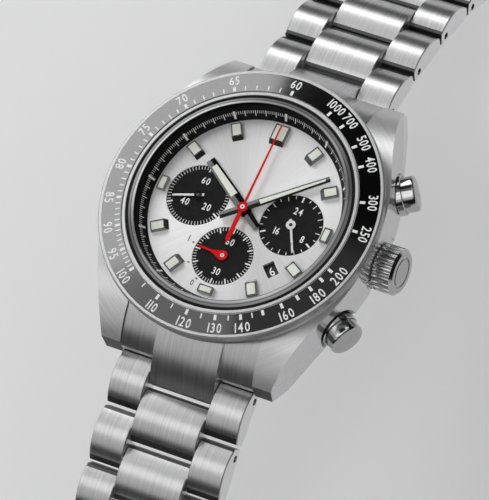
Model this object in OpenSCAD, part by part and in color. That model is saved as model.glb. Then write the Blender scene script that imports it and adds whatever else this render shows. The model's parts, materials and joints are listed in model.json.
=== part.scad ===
// Chronograph wristwatch on a three-row steel bracelet.
// +Z points out of the dial, +Y to 12 o'clock, +X to the crown at 3 o'clock.
// The origin is the centre of the flat face of the case back. Sizes are in millimetres.

/* [Case] */
// Width of the case from 9 to 3 o'clock, without the crown
case_w = 41.4; // [38:0.1:50]
// Thickness from the case back to the top of the crystal
case_h = 13; // [12:0.1:16]
// Length over the lug tips
lug_span = 45.9; // [44:0.1:56]
// Gap between the lugs of a pair
lug_gap = 21; // [18:0.5:26]
// Width of a lug at its tip
lug_tip_w = 2.8; // [2:0.05:4]
// Width of a lug tip where it meets the base plane
lug_base_w = 2.7; // [1.5:0.05:3]
// Distance from the 3-9 line where the straight flank of a lug starts
lug_start_y = 12.25; // [10:0.05:15]
// How far the flank has drawn in where a lug starts
lug_start_inset = 2.62; // [1.5:0.01:4]
// Distance from the 3-9 line where the lug tops start to fall
lug_drop_y = 12; // [11:0.05:16]
// Height of the upper edge of a lug tip
lug_tip_top_z = 5.25; // [5:0.05:7]
// Height of the lower edge of a lug tip
lug_tip_low_z = 2.75; // [2.5:0.05:4]
// Lean of the end face of a lug
lug_tip_slant = 0.4; // [0:0.05:1]
// Distance from the 3-9 line where the underside of a lug starts to rise
lug_under_y = 17.5; // [16:0.1:19]
// Distance by which the flanks lean in from their edge to the top of the case
flank_lean = 0.5; // [0:0.05:1]
// Width of the case where it meets the case back
base_w = 35.9; // [35.8:0.1:38]
// Height of the edge between flank and undercut
flank_edge_z = 5; // [4:0.1:6]
// Height of the underside of the middle case
case_base_z = 1.4; // [1:0.1:2]
// Radius of the bore that takes the movement
case_bore_r = 17; // [16.5:0.1:17.2]
// Wall of the middle case between the lugs
case_wall = 1.4; // [1:0.1:2]
// Depth of the shelf under the bezel
case_shelf = 0.9; // [0.5:0.1:1.5]

/* [Case back] */
// Radius of the case-back rim
back_r = 17.75; // [17.5:0.05:18]
// Bevel around the face of the case back
back_bevel = 0.8; // [0.4:0.1:1]
// Depth of the threaded neck inside the case
back_neck_h = 1.25; // [0.8:0.05:2]
// Thickness of the case-back plate
back_plate = 1.2; // [1:0.1:1.3]
// Wall of the neck
back_neck_wall = 1; // [0.6:0.1:1.5]
// Number of opener notches
notch_count = 6; // [4:1:12]
// Width of an opener notch
notch_w = 3; // [2:0.1:4]
// Radial length of an opener notch
notch_l = 1.6; // [1:0.1:2]
// Depth of an opener notch
notch_depth = 0.7; // [0.3:0.1:0.9]
// Width of the case-back gasket
seal_w = 0.5; // [0.3:0.05:0.6]
// Height of the case-back gasket
seal_h = 0.46; // [0.3:0.02:0.6]

/* [Bezel and crystal] */
// Outer radius of the bezel
bezel_r = 20.6; // [19:0.1:25]
// Height of the scale above the middle case
bezel_h = 2.65; // [2:0.05:4]
// Radius of the bezel's foot
bezel_foot_inset = 0.25; // [0:0.05:0.5]
// Height of the lower, leaning part of the bezel's side
bezel_lean_h = 1.3; // [0.8:0.1:1.5]
// Width of the bright rim outside the insert
rim_w = 0.56; // [0.3:0.02:0.8]
// Chamfer on the rim
rim_chamfer = 0.2; // [0.1:0.05:0.3]
// Width of the flat lip between the crystal and the insert
lip_w = 0.38; // [0.2:0.02:0.6]
// Chamfer on the lip's inner edge
lip_chamfer = 0.07; // [0.03:0.01:0.2]
// Width and depth of the groove between the lip and the insert
lip_groove = [0.18, 0.3]; // [0.1:0.02:0.5]
// Distance of the scale's ticks from the insert's inner edge
scale_in = 0.56; // [0.4:0.01:0.9]
// Fall of the insert for each millimetre outwards
insert_slope = 0.134; // [0:0.001:0.25]
// Thickness of the insert
insert_t = 0.7; // [0.4:0.1:1]
// Radius of the crystal
crystal_r = 16.1; // [13:0.05:16.6]
// Thickness of the crystal
crystal_t = 1.3; // [1:0.1:2]
// Height of the crystal above the scale
crystal_rise = 0.45; // [0.2:0.05:1]
// Width and height of the bevel round the crystal
crystal_bevel = [0.95, 0.4]; // [0.2:0.05:1.2]
// Wall of the crystal gasket
crystal_seal_t = 0.34; // [0.1:0.01:0.5]
// Height of the crystal gasket
crystal_seal_h = 1; // [0.6:0.05:1.1]
// Width of the flange ring, from the edge of the crystal to the open dial
flange_w = 2.1; // [1.6:0.05:2.8]
// Lean of the flange ring's face, outwards for each millimetre up
flange_lean = 0.68; // [0.4:0.01:0.9]

/* [Dial] */
// Depth of the dial below the scale
dial_depth = 2.7; // [2.5:0.05:3]
// Thickness of the dial
dial_t = 0.4; // [0.3:0.05:0.5]
// Gap between the counters and the short markers
counter_gap = 0.33; // [0.1:0.01:0.6]
// Radius of the counters at 3 and 9 o'clock
counter_r = 4.65; // [4.2:0.05:4.8]
// Radius of the counter at 6 o'clock
counter_6_r = 4.45; // [4:0.05:4.8]
// Depth to which the counters are sunk
counter_sink = 0.12; // [0.05:0.01:0.2]
// Distance of the date window from the centre
date_pos = 10.3; // [10:0.05:10.6]
// Clock position of the date window
date_hour = 4.45; // [4.3:0.05:4.6]
// Size of the date window across and along the radius
date_size = [1.65, 2.2]; // [1:0.05:3]
// Gap between the hour markers and the flange ring
marker_gap = 0.5; // [0.2:0.05:1]
// Length of the hour markers
marker_l = 2.55; // [2:0.05:3]
// Width of the hour markers
marker_w = 1.55; // [1:0.05:2]
// Width of the markers at 12, 3, 6 and 9 o'clock
marker_quarter_w = 2.15; // [1.5:0.05:2.6]
// Length of the 12 o'clock marker
marker_12_l = 3; // [2:0.05:3.4]
// Length of the short markers at 3, 6 and 9 o'clock
marker_short_l = 1.15; // [0.8:0.05:1.3]
// Height of the hour markers
marker_h = 0.6; // [0.3:0.05:0.65]
// Slope at the inner end of a long marker
marker_slope = 0.5; // [0:0.02:0.6]
// Metal left around the filling of a marker
marker_frame = 0.16; // [0.1:0.01:0.3]
// Depth of the filling of a marker
lume_depth = 0.2; // [0.1:0.01:0.3]
// Height of the rounded top of a marker's filling
lume_arch = 0.09; // [0.02:0.01:0.09]

/* [Hands] */
// Hour shown
shown_hour = 10; // [0:1:23]
// Minute shown
shown_minute = 8.6; // [0:0.1:59.9]
// Running second shown at 9 o'clock
shown_second = 42; // [0:1:59]
// Angle of the chronograph minute hand at 6 o'clock, clockwise from 12
chrono_minute_angle = 275; // [0:1:359]
// Thickness of the hour and minute hands
hand_t = 0.2; // [0.1:0.01:0.25]
// Fall of the facets of the hour and minute hands, for each millimetre from the ridge
hand_ridge = 0.12; // [0.02:0.01:0.14]
// Thickness of the slim hands
slim_t = 0.1; // [0.06:0.01:0.12]
// Height of the small hands above the dial
small_hand_up = 0.07; // [0.05:0.01:0.1]
// Height of the hour hand above the dial
hour_hand_up = 0.3; // [0.28:0.01:0.35]
// Height of the minute hand above the dial
minute_hand_up = 0.72; // [0.7:0.01:0.8]
// Height of the central second hand above the dial
chrono_hand_up = 1.0; // [0.98:0.01:1.1]
// Gap between the tip of the hour hand and the hour markers
hour_tip_gap = 1.45; // [0.5:0.05:3]
// Length of the hour hand's tail
hour_tail = 3.6; // [2:0.1:5]
// Width of the hour hand at its shoulder, tip and tail
hour_hand_w = [1.6, 1.35, 1.1]; // [0.5:0.05:2]
// Gap between the tip of the minute hand and the flange ring
minute_tip_gap = 1.2; // [0.5:0.05:3]
// Length of the minute hand's tail
minute_tail = 3.5; // [2:0.1:5]
// Width of the minute hand at its shoulder, tip and tail
minute_hand_w = [1.15, 0.8, 0.95]; // [0.5:0.05:2]
// Distance from the centre where the filling of a hand starts
hand_lume_start = 2.9; // [2:0.1:4]
// Metal beyond the filling at the tip of a hand
hand_lume_end = 0.75; // [0.3:0.05:1]
// Metal beside the filling of a hand
hand_frame = 0.27; // [0.1:0.01:0.3]
// Gap between the tip of the central second hand and the flange ring
chrono_tip_gap = 0.7; // [0.5:0.05:3]
// Length of the central second hand's tail
chrono_tail = 5.75; // [3:0.05:7]
// Width of the central second hand at the hub and at the tip
chrono_hand_w = [0.36, 0.2]; // [0.1:0.02:0.5]
// Width of the tail of the central second hand
chrono_tail_w = 0.62; // [0.3:0.02:0.8]
// Radius of the hub of the central second hand
chrono_hub_r = 0.74; // [0.6:0.02:0.9]
// Length and tail of the running second hand
second_hand_l = [3.75, 0.9]; // [0.5:0.05:4.3]
// Length and tail of the 24-hour hand
day_hand_l = [4.3, 0.9]; // [0.5:0.05:4.3]
// Width of the slim small hands at the hub and at the tip
slim_w = [0.36, 0.28]; // [0.1:0.02:0.5]
// Radius of the hub of the running second hand
slim_hub_r = 0.5; // [0.4:0.02:0.6]
// Radius of the hub of the 24-hour hand
day_hub_r = 0.7; // [0.4:0.02:0.8]
// Length of the chronograph minute hand
chrono_minute_l = 4.05; // [3:0.05:4.2]
// Radius of the hub of the chronograph minute hand
chrono_minute_hub_r = 0.75; // [0.5:0.02:0.9]
// Length of the drop shape behind its needle
drop_l = 1.75; // [1:0.05:2.5]
// Radius of the central arbor
arbor_r = 0.25; // [0.2:0.01:0.3]
// Wall of the pipes that carry the minute and hour hands
pipe_wall = 0.31; // [0.25:0.01:0.35]
// Radius of the small arbors
small_arbor_r = 0.2; // [0.15:0.01:0.25]
// Height of a hub above its hand
hub_up = 0.06; // [0.02:0.01:0.08]
// Rim that a hub leaves around the end of its arbor
hub_rim = 0.04; // [0.02:0.01:0.06]

/* [Movement] */
// Thickness of the solar cell
solar_t = 0.15; // [0.1:0.01:0.2]
// Inner and outer radius of the date disc
date_disc_r = [8.6, 12.2]; // [8.4:0.1:13]
// Thickness of the date disc
date_disc_t = 0.25; // [0.2:0.01:0.4]
// Number of notches inside the date disc
date_teeth = 31; // [31:1:31]
// Radius of the main plate
plate_r = 14.6; // [14:0.1:15]
// Gap between the main plate and the mouth of the case
mouth_gap = 1.68; // [1.4:0.02:2]
// Height of the underside of the main plate
plate_z = 3.9; // [3.7:0.1:4.2]
// Thickness of the circuit board
board_t = 0.55; // [0.3:0.05:0.7]
// Radius of the rechargeable cell
cell_r = 4.75; // [3:0.05:5]
// Thickness of the rechargeable cell
cell_t = 1.6; // [1:0.1:1.7]
// Place of the rechargeable cell
cell_pos = [-5.5, 5.5]; // [-8:0.1:8]
// Radius and length of a motor coil's winding
coil_size = [0.75, 5]; // [0.5:0.05:6]
// Radius and thickness of a coil's end plates
coil_end = [0.95, 0.5]; // [0.3:0.05:1.2]
// Distance of the motor coils from the centre
coil_pos = 9; // [8:0.1:10]
// Directions of the motor coils, counter-clockwise from the crown
coil_angles = [20, 200, 290]; // [0:5:360]

/* [Crown and pushers] */
// Height of the crown and pusher axes
crown_z = 5.2; // [5:0.05:5.6]
// Radius of the crown over its flutes
crown_r = 3.4; // [3:0.1:4.2]
// Length of the crown
crown_l = 3.15; // [2.8:0.05:4]
// Number of flutes
flute_count = 24; // [16:1:30]
// Radius of a flute
flute_r = 0.36; // [0.2:0.02:0.4]
// Radius of the crown's end face
crown_face_r = 3; // [2.6:0.1:3.2]
// Radius of the ring groove on the crown's end
crown_groove_r = 2.1; // [1.5:0.1:2.5]
// Width and depth of the ring groove
crown_groove = [0.3, 0.2]; // [0.1:0.01:0.4]
// Radius of the crown's spot face
crown_spot_r = 4.3; // [4:0.1:5]
// Depth of the crown's spot face in the flank
crown_spot_depth = 0.5; // [0.2:0.1:1]
// Radius of the crown tube
crown_tube_r = 1.5; // [1.2:0.05:1.8]
// Length of the crown tube outside its seat
crown_tube_out = 1.7; // [1.4:0.1:2]
// Radius of the crown stem
stem_r = 0.6; // [0.4:0.05:0.7]
// Distance of the stem's inner end from the centre
stem_end_x = 9.1; // [8.8:0.1:9.5]
// Radius of the stem in the setting lever
stem_neck_r = 0.35; // [0.25:0.01:0.4]
// Distance of the setting lever from the centre
lever_x = 10.25; // [10:0.05:10.5]
// Thickness of the setting lever
lever_t = 0.6; // [0.4:0.05:0.8]
// Size of the setting lever across and up
lever_size = [2.8, 2.2]; // [1.5:0.1:3]
// Distance that the crown pulls out
crown_pull = 1.6; // [1:0.1:1.8]
// Angle of the pushers from the crown
pusher_angle = 30; // [25:0.5:35]
// Distance of the pusher seats from the centre
pusher_seat_r = 19.6; // [19:0.1:20.5]
// Radius of the pushers' spot faces
pusher_spot_r = 3.2; // [3:0.1:3.5]
// Radius of the collar of a pusher tube
collar_r = 2.8; // [2.65:0.05:3]
// Length of the collar
collar_l = 2.28; // [1.2:0.02:2.6]
// Chamfer on the outer end of the collar
collar_chamfer = 0.1; // [0.05:0.01:0.15]
// Floor of the collar
collar_floor = 0.4; // [0.3:0.05:0.6]
// Radius of the part of a pusher tube inside the case
pusher_tube_r = 1.4; // [1.1:0.05:1.6]
// Radius of a pusher cap
cap_r = 2.55; // [2.2:0.05:2.6]
// Length of a pusher cap from its inner edge to the rounding at its end
cap_l = 2.5; // [1.8:0.05:3]
// Radius of the rounding at the end of a pusher cap
cap_edge_r = 0.42; // [0.2:0.02:0.6]
// Height of the dome of a pusher cap
cap_dome = 0.2; // [0.1:0.05:0.9]
// Travel of a pusher
pusher_travel = 0.8; // [0.5:0.05:0.8]
// Wall of a pusher cap
cap_wall = 0.5; // [0.3:0.05:0.7]
// Radius of a pusher stem
pusher_stem_r = 0.7; // [0.5:0.05:0.8]
// Distance of a pusher stem's end from the centre
pusher_stem_end = 15.6; // [15.5:0.05:16]
// Radius of the pusher spring
spring_r = 1.3; // [1.1:0.05:1.5]
// Radius of the spring wire
spring_wire_r = 0.12; // [0.08:0.01:0.15]
// Turns of the pusher spring
spring_turns = 3; // [2:0.5:4]

/* [Bracelet] */
// Distance between two hinges
link_pitch = 8.35; // [8:0.05:10]
// Gap between two links of a row
link_gap = 0.5; // [0.4:0.01:0.6]
// Thickness of a link at its crown
link_t = 3.25; // [2.6:0.05:3.8]
// Thickness of a link at its ends
link_end_t = 1.85; // [1.5:0.05:2]
// Chamfer along the lower ends of the end links and the clasp cover
link_chamfer = 0.35; // [0.1:0.05:0.4]
// Chamfer along the lower near end of a link
link_toe = 0.15; // [0.05:0.05:0.3]
// Length and height of the cut under the far end of a link
link_heel = [0.9, 0.35]; // [0.1:0.05:1.1]
// Bevel along the upper side edges of a link
link_edge = 0.12; // [0.05:0.01:0.2]
// Width of a side link
side_w = 5.25; // [4:0.05:6]
// Gap between the rows
row_gap = 0.07; // [0.05:0.01:0.12]
// Distance of a hinge from the near end of its side links
hinge_u = 1.4; // [1.3:0.05:1.6]
// Height of a hinge above the inner face of the links
hinge_h = 0.85; // [0.8:0.01:1]
// Radius of the pins
pin_r = 0.48; // [0.4:0.01:0.52]
// Depth of a hinge pin in its hole
pin_sunk = 0.45; // [0.2:0.05:1]
// Metal outside the end of a fixed pin
pin_cover = 1.1; // [0.8:0.1:2]
// Distance of the first hinge beyond the lug tips
first_hinge_out = 0.55; // [0.5:0.05:1]
// Height of the first hinge
first_hinge_z = 1.75; // [1.5:0.05:2]
// Fall of the first links below the horizontal
first_fall = 17; // [14:0.5:20]
// Further fall of the second links
second_fall = 6; // [4:0.5:10]
// Further fall of each later link
next_fall = 8; // [4:0.5:10]
// Number of links on the 6 o'clock side
links_6 = 5; // [5:1:5]
// Clearance between bracelet and lugs
lug_clear = 0.1; // [0.05:0.01:0.2]
// Depth of the end links below the lug tops
end_link_drop = 0.35; // [0.1:0.01:0.5]
// Height of the nose of an end link's centre
end_nose_z = 2.2; // [1.4:0.05:2.4]
// Height of the underside of an end link's sides
end_under_z = 3.2; // [3.1:0.05:3.4]
// Distance of the spring bars inside the lug tips
bar_in = 2.75; // [2.5:0.05:3.2]
// Height of the spring bars
bar_z = 4.9; // [4.7:0.05:5.2]
// Radius of a spring bar and of its tips
bar_r = [0.85, 0.5]; // [0.3:0.05:1]
// Length of a spring bar's tip in its lug
bar_tip = 1.2; // [0.8:0.1:1.6]

/* [Clasp] */
// Length of the clasp cover
cover_l = 35; // [34:0.5:42]
// Thickness of the clasp cover at its crown
cover_t = 3.2; // [3:0.05:3.6]
// Radius of the cover's arched top
cover_arch_r = 160; // [120:5:250]
// Height of the channel under the cover
channel_h = 1.7; // [1.65:0.05:1.8]
// Thickness of the cover's side walls
cover_wall = 1.2; // [1:0.1:1.5]
// Distance of the channel from the hinge end
channel_start = 8.3; // [8:0.1:9]
// Gap between the folding leaves and the side walls of the cover
leaf_side_gap = 1.3; // [1:0.05:2]
// Thickness of the folding leaves
leaf_t = 0.72; // [0.5:0.02:0.75]
// Distance and height of the outer leaf's pivot
outer_pivot = [33.4, 0.95]; // [0.9:0.05:40]
// Distance and height of the pivot between the leaves
inner_pivot = [11.5, 0.42]; // [0.4:0.02:12]
// Distance and height of the open eye on the inner leaf
open_eye = [31.4, -0.05]; // [-0.1:0.05:32]
// Radius of the knuckles on the leaves
knuckle_r = [0.72, 0.68, 0.85]; // [0.6:0.01:1]
// Radius of the clasp's pins
leaf_pin_r = 0.4; // [0.3:0.01:0.45]
// Distance and height of the push buttons
button_pos = [20, 0.82]; // [0.8:0.01:24]
// Radius of a push button and of its inner flange
button_r = [0.68, 0.82]; // [0.5:0.02:0.9]
// Length that a push button stands out
button_out = 0.7; // [0.4:0.05:1]
// Travel of a push button
button_travel = 0.6; // [0.3:0.05:0.6]

/* [Hidden] */
// Facets for round shapes, for the arcs inside a hull, and for very large arcs
$fn = 96;
hull_fn = 180;
arch_fn = 720;
// Clearances: parts that stay together, parts that turn or slide, parts that pass with room
fit = 0.02;
run = 0.04;
room = 0.1;
// Overshoot of a cut past the face it opens
cut = 1;

// Levels of the stack from the case back to the crystal
z_scale = case_h - crystal_rise;
z_case = z_scale - bezel_h;
z_dial = z_scale - dial_depth;
z_crystal = case_h - crystal_t;
z_shelf = z_case - case_shelf;
z_solar = z_dial - dial_t - fit - solar_t;
z_plate_top = z_solar - fit;
z_date = z_plate_top - date_disc_t - room;
z_board = plate_z - fit - board_t;
z_neck = case_base_z - fit + back_neck_h;

// Radii that follow from one another
wall_r = case_bore_r + case_wall;
mouth_r = plate_r + mouth_gap;
dial_r = mouth_r - room;
bezel_bore_r = crystal_r - fit;
seal_r = crystal_r + fit + crystal_seal_t + fit;
lip_out_r = seal_r + lip_chamfer + lip_w;
insert_in_r = lip_out_r + lip_groove[0];
insert_out_r = bezel_r - rim_w;
scale_r = insert_in_r + scale_in;
flange_r = crystal_r - flange_w;
marker_out_r = flange_r - marker_gap;
counter_pos = marker_out_r - marker_short_l - counter_gap - counter_r;
minute_pipe = [arbor_r + run, arbor_r + run + pipe_wall];
hour_pipe = [minute_pipe[1] + run, minute_pipe[1] + run + pipe_wall];
holder_r = [plate_r + room, case_bore_r - room];

// Length and tail of the hands
hour_hand_l = [marker_out_r - marker_l - hour_tip_gap, hour_tail];
minute_hand_l = [flange_r - minute_tip_gap, minute_tail];
chrono_hand_l = [flange_r - chrono_tip_gap, chrono_tail];

// Lug outline seen from 3 o'clock
tip_y = lug_span / 2;
lug_end_y = tip_y - lug_tip_slant;
function arc_radius(run_y, drop) = (run_y * run_y + drop * drop) / (2 * drop);
lug_r = arc_radius(lug_end_y - lug_drop_y, z_case - lug_tip_top_z);
lug_x = lug_gap / 2 + lug_tip_w;
base_x = lug_gap / 2 + lug_base_w;

// Height of the insert's upper face at a radius
function insert_z(r) = z_scale - insert_slope * (r - scale_r);

// Crown and pushers along their axes
crown_seat_x = case_w / 2 - crown_spot_depth;
crown_x = crown_seat_x + 2 * room;
crown_bore_r = crown_tube_r + run + fit;
crown_bore_l = crown_tube_out + room;
cap_s = pusher_seat_r + collar_floor + pusher_travel + room / 2;
spring_s = pusher_seat_r + collar_floor + fit;
spring_l = pusher_travel + cap_l - cap_wall - room;

// Bracelet rows, link outline and chain of hinges
bracelet_w = lug_gap - 2 * lug_clear;
centre_w = bracelet_w - 2 * side_w - 2 * row_gap;
leaf_half_w = bracelet_w / 2 - cover_wall - leaf_side_gap;
link_l = link_pitch - link_gap;
link_top_r = arc_radius(link_l / 2, link_t - link_end_t);
far_pin_u = link_l - hinge_u;
link_swing_r = norm([hinge_u, link_end_t - hinge_h]) + room;
centre_u = link_pitch / 2;
first_hinge_y = tip_y + first_hinge_out;
function fall(k) = k == 0 ? first_fall : first_fall + second_fall + next_fall * (k - 1);
function hinge_at(k) = k == 0 ? [first_hinge_y, first_hinge_z]
    : hinge_at(k - 1) + link_pitch * [cos(fall(k - 1)), -sin(fall(k - 1))];

// End links: the nose of the centre reaches as far as a centre link would
nose_y = first_hinge_y + centre_u + link_l - link_pitch - hinge_u;
nose_r = arc_radius(nose_y - lug_drop_y, z_case - end_link_drop - end_nose_z);
bar_y = tip_y - bar_in;

// Angles of the hands, clockwise from 12
minute_angle = 6 * shown_minute;
hour_angle = 30 * shown_hour + minute_angle / 12;
day_angle = hour_angle / 2;
second_angle = 6 * shown_second;

// A profile drawn in (y, z), pulled out along x from x0
module along_x(x0, w) {
    translate([x0, 0, 0])
        rotate([90, 0, 90])
            linear_extrude(w)
                children();
}

// A rod along x
module rod_x(r, x0, l) {
    translate([x0, 0, 0])
        rotate([0, 90, 0])
            cylinder(r = r, h = l);
}

// A flat ring standing on z
module ring(r_in, r_out, z, h) {
    translate([0, 0, z])
        difference() {
            cylinder(r = r_out, h = h);
            translate([0, 0, -cut])
                cylinder(r = r_in, h = h + 2 * cut);
        }
}

// Turns +Y to an angle clockwise from 12
module clockwise(angle) {
    rotate([0, 0, -angle])
        children();
}

// Lays local z along a pusher's axis: side 1 is at 2 o'clock, side -1 at 4 o'clock
module pusher_axis(side) {
    rotate([0, 0, side * pusher_angle])
        translate([0, 0, crown_z])
            rotate([0, 90, 0])
                children();
}

// Both ends of the watch: the children as drawn for 12 o'clock, and mirrored for 6 o'clock
module both_ends() {
    children();
    mirror([0, 1, 0])
        children();
}

// Case seen from above: an arc along each flank and straight lug flanks that end at the tips
module case_plan(half_w, tip_x) {
    flank_x = half_w - lug_start_inset;
    flank_r = arc_radius(lug_start_y, lug_start_inset);
    intersection() {
        translate([half_w - flank_r, 0])
            circle(flank_r);
        translate([flank_r - half_w, 0])
            circle(flank_r);
        square([2 * half_w, 2 * lug_start_y], center = true);
    }
    polygon([for (s = [[1, 1], [-1, 1], [-1, -1], [1, -1]])
        for (p = s[0] * s[1] > 0 ? [[flank_x, lug_start_y], [tip_x, tip_y]]
                                 : [[tip_x, tip_y], [flank_x, lug_start_y]])
            [s[0] * p[0], s[1] * p[1]]]);
}

// Case seen from 3 o'clock: flat top, lug tops that fall on an arc, slanted tips
module case_side() {
    both_halves() {
        intersection() {
            union() {
                square([lug_drop_y, z_case]);
                translate([lug_drop_y, z_case - lug_r])
                    circle(lug_r);
            }
            polygon([[0, case_base_z], [lug_under_y, case_base_z], [tip_y, lug_tip_low_z],
                     [lug_end_y, lug_tip_top_z], [lug_end_y, z_case], [0, z_case]]);
        }
    }
}

module both_halves() {
    children();
    mirror([1, 0])
        children();
}

module case_body() {
    color("silver")
        difference() {
            intersection() {
                along_x(-case_w, 2 * case_w)
                    case_side();
                // flanks widest at their edge: leaning in above it, undercut below it
                hull() {
                    translate([0, 0, z_case - fit])
                        linear_extrude(fit)
                            case_plan(case_w / 2 - flank_lean, lug_x - flank_lean, $fn = hull_fn);
                    translate([0, 0, flank_edge_z - fit])
                        linear_extrude(2 * fit)
                            case_plan(case_w / 2, lug_x, $fn = hull_fn);
                    translate([0, 0, case_base_z])
                        linear_extrude(fit)
                            case_plan(base_w / 2, base_x, $fn = hull_fn);
                }
            }
            cylinder(r = case_bore_r, h = z_shelf);
            cylinder(r = mouth_r, h = case_h);
            // room for the end links between the lugs
            difference() {
                translate([-lug_gap / 2, -lug_span, -cut])
                    cube([lug_gap, 2 * lug_span, case_h]);
                translate([0, 0, -cut])
                    cylinder(r = wall_r, h = case_h + cut);
            }
            both_ends()
                translate([0, bar_y, bar_z])
                    rod_x(bar_r[1] + run, -lug_gap / 2 - bar_tip - room, lug_gap + 2 * (bar_tip + room));
            // seats and holes for the crown tube and the pusher tubes
            translate([0, 0, crown_z]) {
                rod_x(crown_spot_r, crown_seat_x, case_w);
                rod_x(crown_tube_r + fit, 0, case_w);
            }
            for (side = [1, -1])
                pusher_axis(side) {
                    translate([0, 0, pusher_seat_r])
                        cylinder(r = pusher_spot_r, h = case_w);
                    cylinder(r = pusher_tube_r + fit, h = case_w);
                }
            // groove for the case-back gasket
            ring(case_bore_r + fit, case_bore_r + 3 * fit + seal_w, case_base_z - cut, cut + seal_h + fit);
        }
}

module case_back() {
    color("lightgray")
        difference() {
            union() {
                rotate_extrude()
                    polygon([[0, 0], [back_r - back_bevel, 0], [back_r, back_bevel],
                             [back_r, case_base_z - fit], [0, case_base_z - fit]]);
                translate([0, 0, case_base_z - 2 * fit])
                    cylinder(r = case_bore_r - run, h = z_neck - case_base_z + 2 * fit);
            }
            translate([0, 0, back_plate])
                cylinder(r = case_bore_r - run - back_neck_wall, h = case_h);
            for (i = [0 : notch_count - 1])
                rotate([0, 0, 360 * i / notch_count])
                    translate([back_r - notch_l, -notch_w / 2, -cut])
                        cube([2 * notch_l, notch_w, cut + notch_depth]);
        }
}

module case_back_gasket() {
    color("#222222")
        ring(case_bore_r + 2 * fit, case_bore_r + 2 * fit + seal_w, case_base_z, seal_h);
}

module bezel_ring() {
    z_rim = insert_z(insert_out_r) + fit;
    z_lip = insert_z(insert_in_r) + fit;
    z_floor = insert_t + 2 * fit;
    z_ledge = z_lip - fit - lip_chamfer - crystal_seal_h;
    color("gainsboro")
        rotate_extrude()
            polygon([[bezel_bore_r, z_case], [bezel_r - bezel_foot_inset, z_case],
                     [bezel_r, z_case + bezel_lean_h], [bezel_r, z_rim - rim_chamfer],
                     [bezel_r - rim_chamfer, z_rim], [insert_out_r, z_rim],
                     [insert_out_r, z_rim - z_floor], [insert_in_r, z_lip - z_floor],
                     [insert_in_r, z_lip - lip_groove[1]], [lip_out_r, z_lip - lip_groove[1]],
                     [lip_out_r, z_lip], [seal_r + lip_chamfer, z_lip],
                     [seal_r, z_lip - lip_chamfer], [seal_r, z_ledge], [bezel_bore_r, z_ledge]]);
}

module bezel_insert() {
    r0 = insert_in_r + fit;
    r1 = insert_out_r - fit;
    color("#2b2b2d")
        rotate_extrude()
            polygon([[r0, insert_z(r0)], [r1, insert_z(r1)],
                     [r1, insert_z(r1) - insert_t], [r0, insert_z(r0) - insert_t]]);
}

module crystal() {
    color("aliceblue", 0.3)
        rotate_extrude()
            polygon([[0, z_crystal], [bezel_bore_r, z_crystal],
                     [bezel_bore_r, case_h - crystal_bevel[1]],
                     [bezel_bore_r - crystal_bevel[0], case_h], [0, case_h]]);
}

module crystal_gasket() {
    z_top = insert_z(insert_in_r) - lip_chamfer;
    color("#1a1a1a")
        ring(crystal_r + fit, crystal_r + fit + crystal_seal_t, z_top - crystal_seal_h, crystal_seal_h);
}

module flange_ring() {
    z0 = z_dial + fit;
    z1 = z_crystal - fit;
    r1 = bezel_bore_r - room;
    color("#161616")
        rotate_extrude()
            polygon([[flange_r, z0], [r1, z0], [r1, z1], [flange_r + flange_lean * (z1 - z0), z1]]);
}

// Opening of the date window, through the dial and the cell below it
module date_opening() {
    clockwise(30 * date_hour)
        translate([-date_size[0] / 2, date_pos - date_size[1] / 2, 0])
            cube([date_size[0], date_size[1], case_h]);
}

// Centres of the small hands at 9, 6 and 3 o'clock, on the clock angle of each
counter_angles = [270, 180, 90];
module at_counter(i) {
    clockwise(counter_angles[i])
        translate([0, counter_pos, 0])
            clockwise(-counter_angles[i])
                children();
}

// Holes through the dial for the pipes and arbors of the hands
module hand_holes() {
    cylinder(r = hour_pipe[1] + room, h = case_h);
    for (i = [0 : 2])
        at_counter(i)
            cylinder(r = small_arbor_r + room, h = case_h);
}

module dial() {
    color("whitesmoke")
        difference() {
            translate([0, 0, z_dial - dial_t])
                cylinder(r = dial_r, h = dial_t);
            for (i = [0 : 2])
                at_counter(i)
                    translate([0, 0, z_dial - counter_sink])
                        cylinder(r = i == 1 ? counter_6_r : counter_r, h = dial_t);
            date_opening();
            hand_holes();
        }
}

module solar_cell() {
    color("#3a2a3a")
        difference() {
            translate([0, 0, z_solar])
                cylinder(r = dial_r - room, h = solar_t);
            date_opening();
            hand_holes();
        }
}

// Width, length and inner slope of the marker at an hour
function marker_size(h) = h == 12 ? [marker_quarter_w, marker_12_l, marker_slope]
    : h % 3 == 0 ? [marker_quarter_w, marker_short_l, fit]
    : [marker_w, marker_l, marker_slope];

// Pocket of a marker: the filling fits it with a clearance
module marker_pocket(size, clear) {
    w = size[0] - 2 * (marker_frame + clear);
    l = size[1] - size[2] - 2 * (marker_frame + clear);
    translate([-w / 2, marker_out_r - marker_frame - clear - l, z_dial + marker_h - lume_depth + clear])
        cube([w, l, lume_depth]);
}

module hour_markers() {
    color("lightsteelblue")
        for (h = [1 : 12])
            clockwise(30 * h)
                difference() {
                    along_x(-marker_size(h)[0] / 2, marker_size(h)[0])
                        polygon([[marker_out_r - marker_size(h)[1], z_dial],
                                 [marker_out_r, z_dial],
                                 [marker_out_r, z_dial + marker_h],
                                 [marker_out_r - marker_size(h)[1] + marker_size(h)[2], z_dial + marker_h]]);
                    marker_pocket(marker_size(h), 0);
                }
}

module marker_lume() {
    color("#e4ead8")
        for (h = [1 : 12]) {
            arch_r = arc_radius(marker_size(h)[0] / 2 - marker_frame, lume_arch);
            clockwise(30 * h)
                intersection() {
                    marker_pocket(marker_size(h), fit / 2);
                    translate([0, marker_out_r - marker_size(h)[1], z_dial + marker_h - arch_r])
                        rotate([-90, 0, 0])
                            cylinder(r = arch_r, h = marker_size(h)[1]);
                }
        }
}

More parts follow.
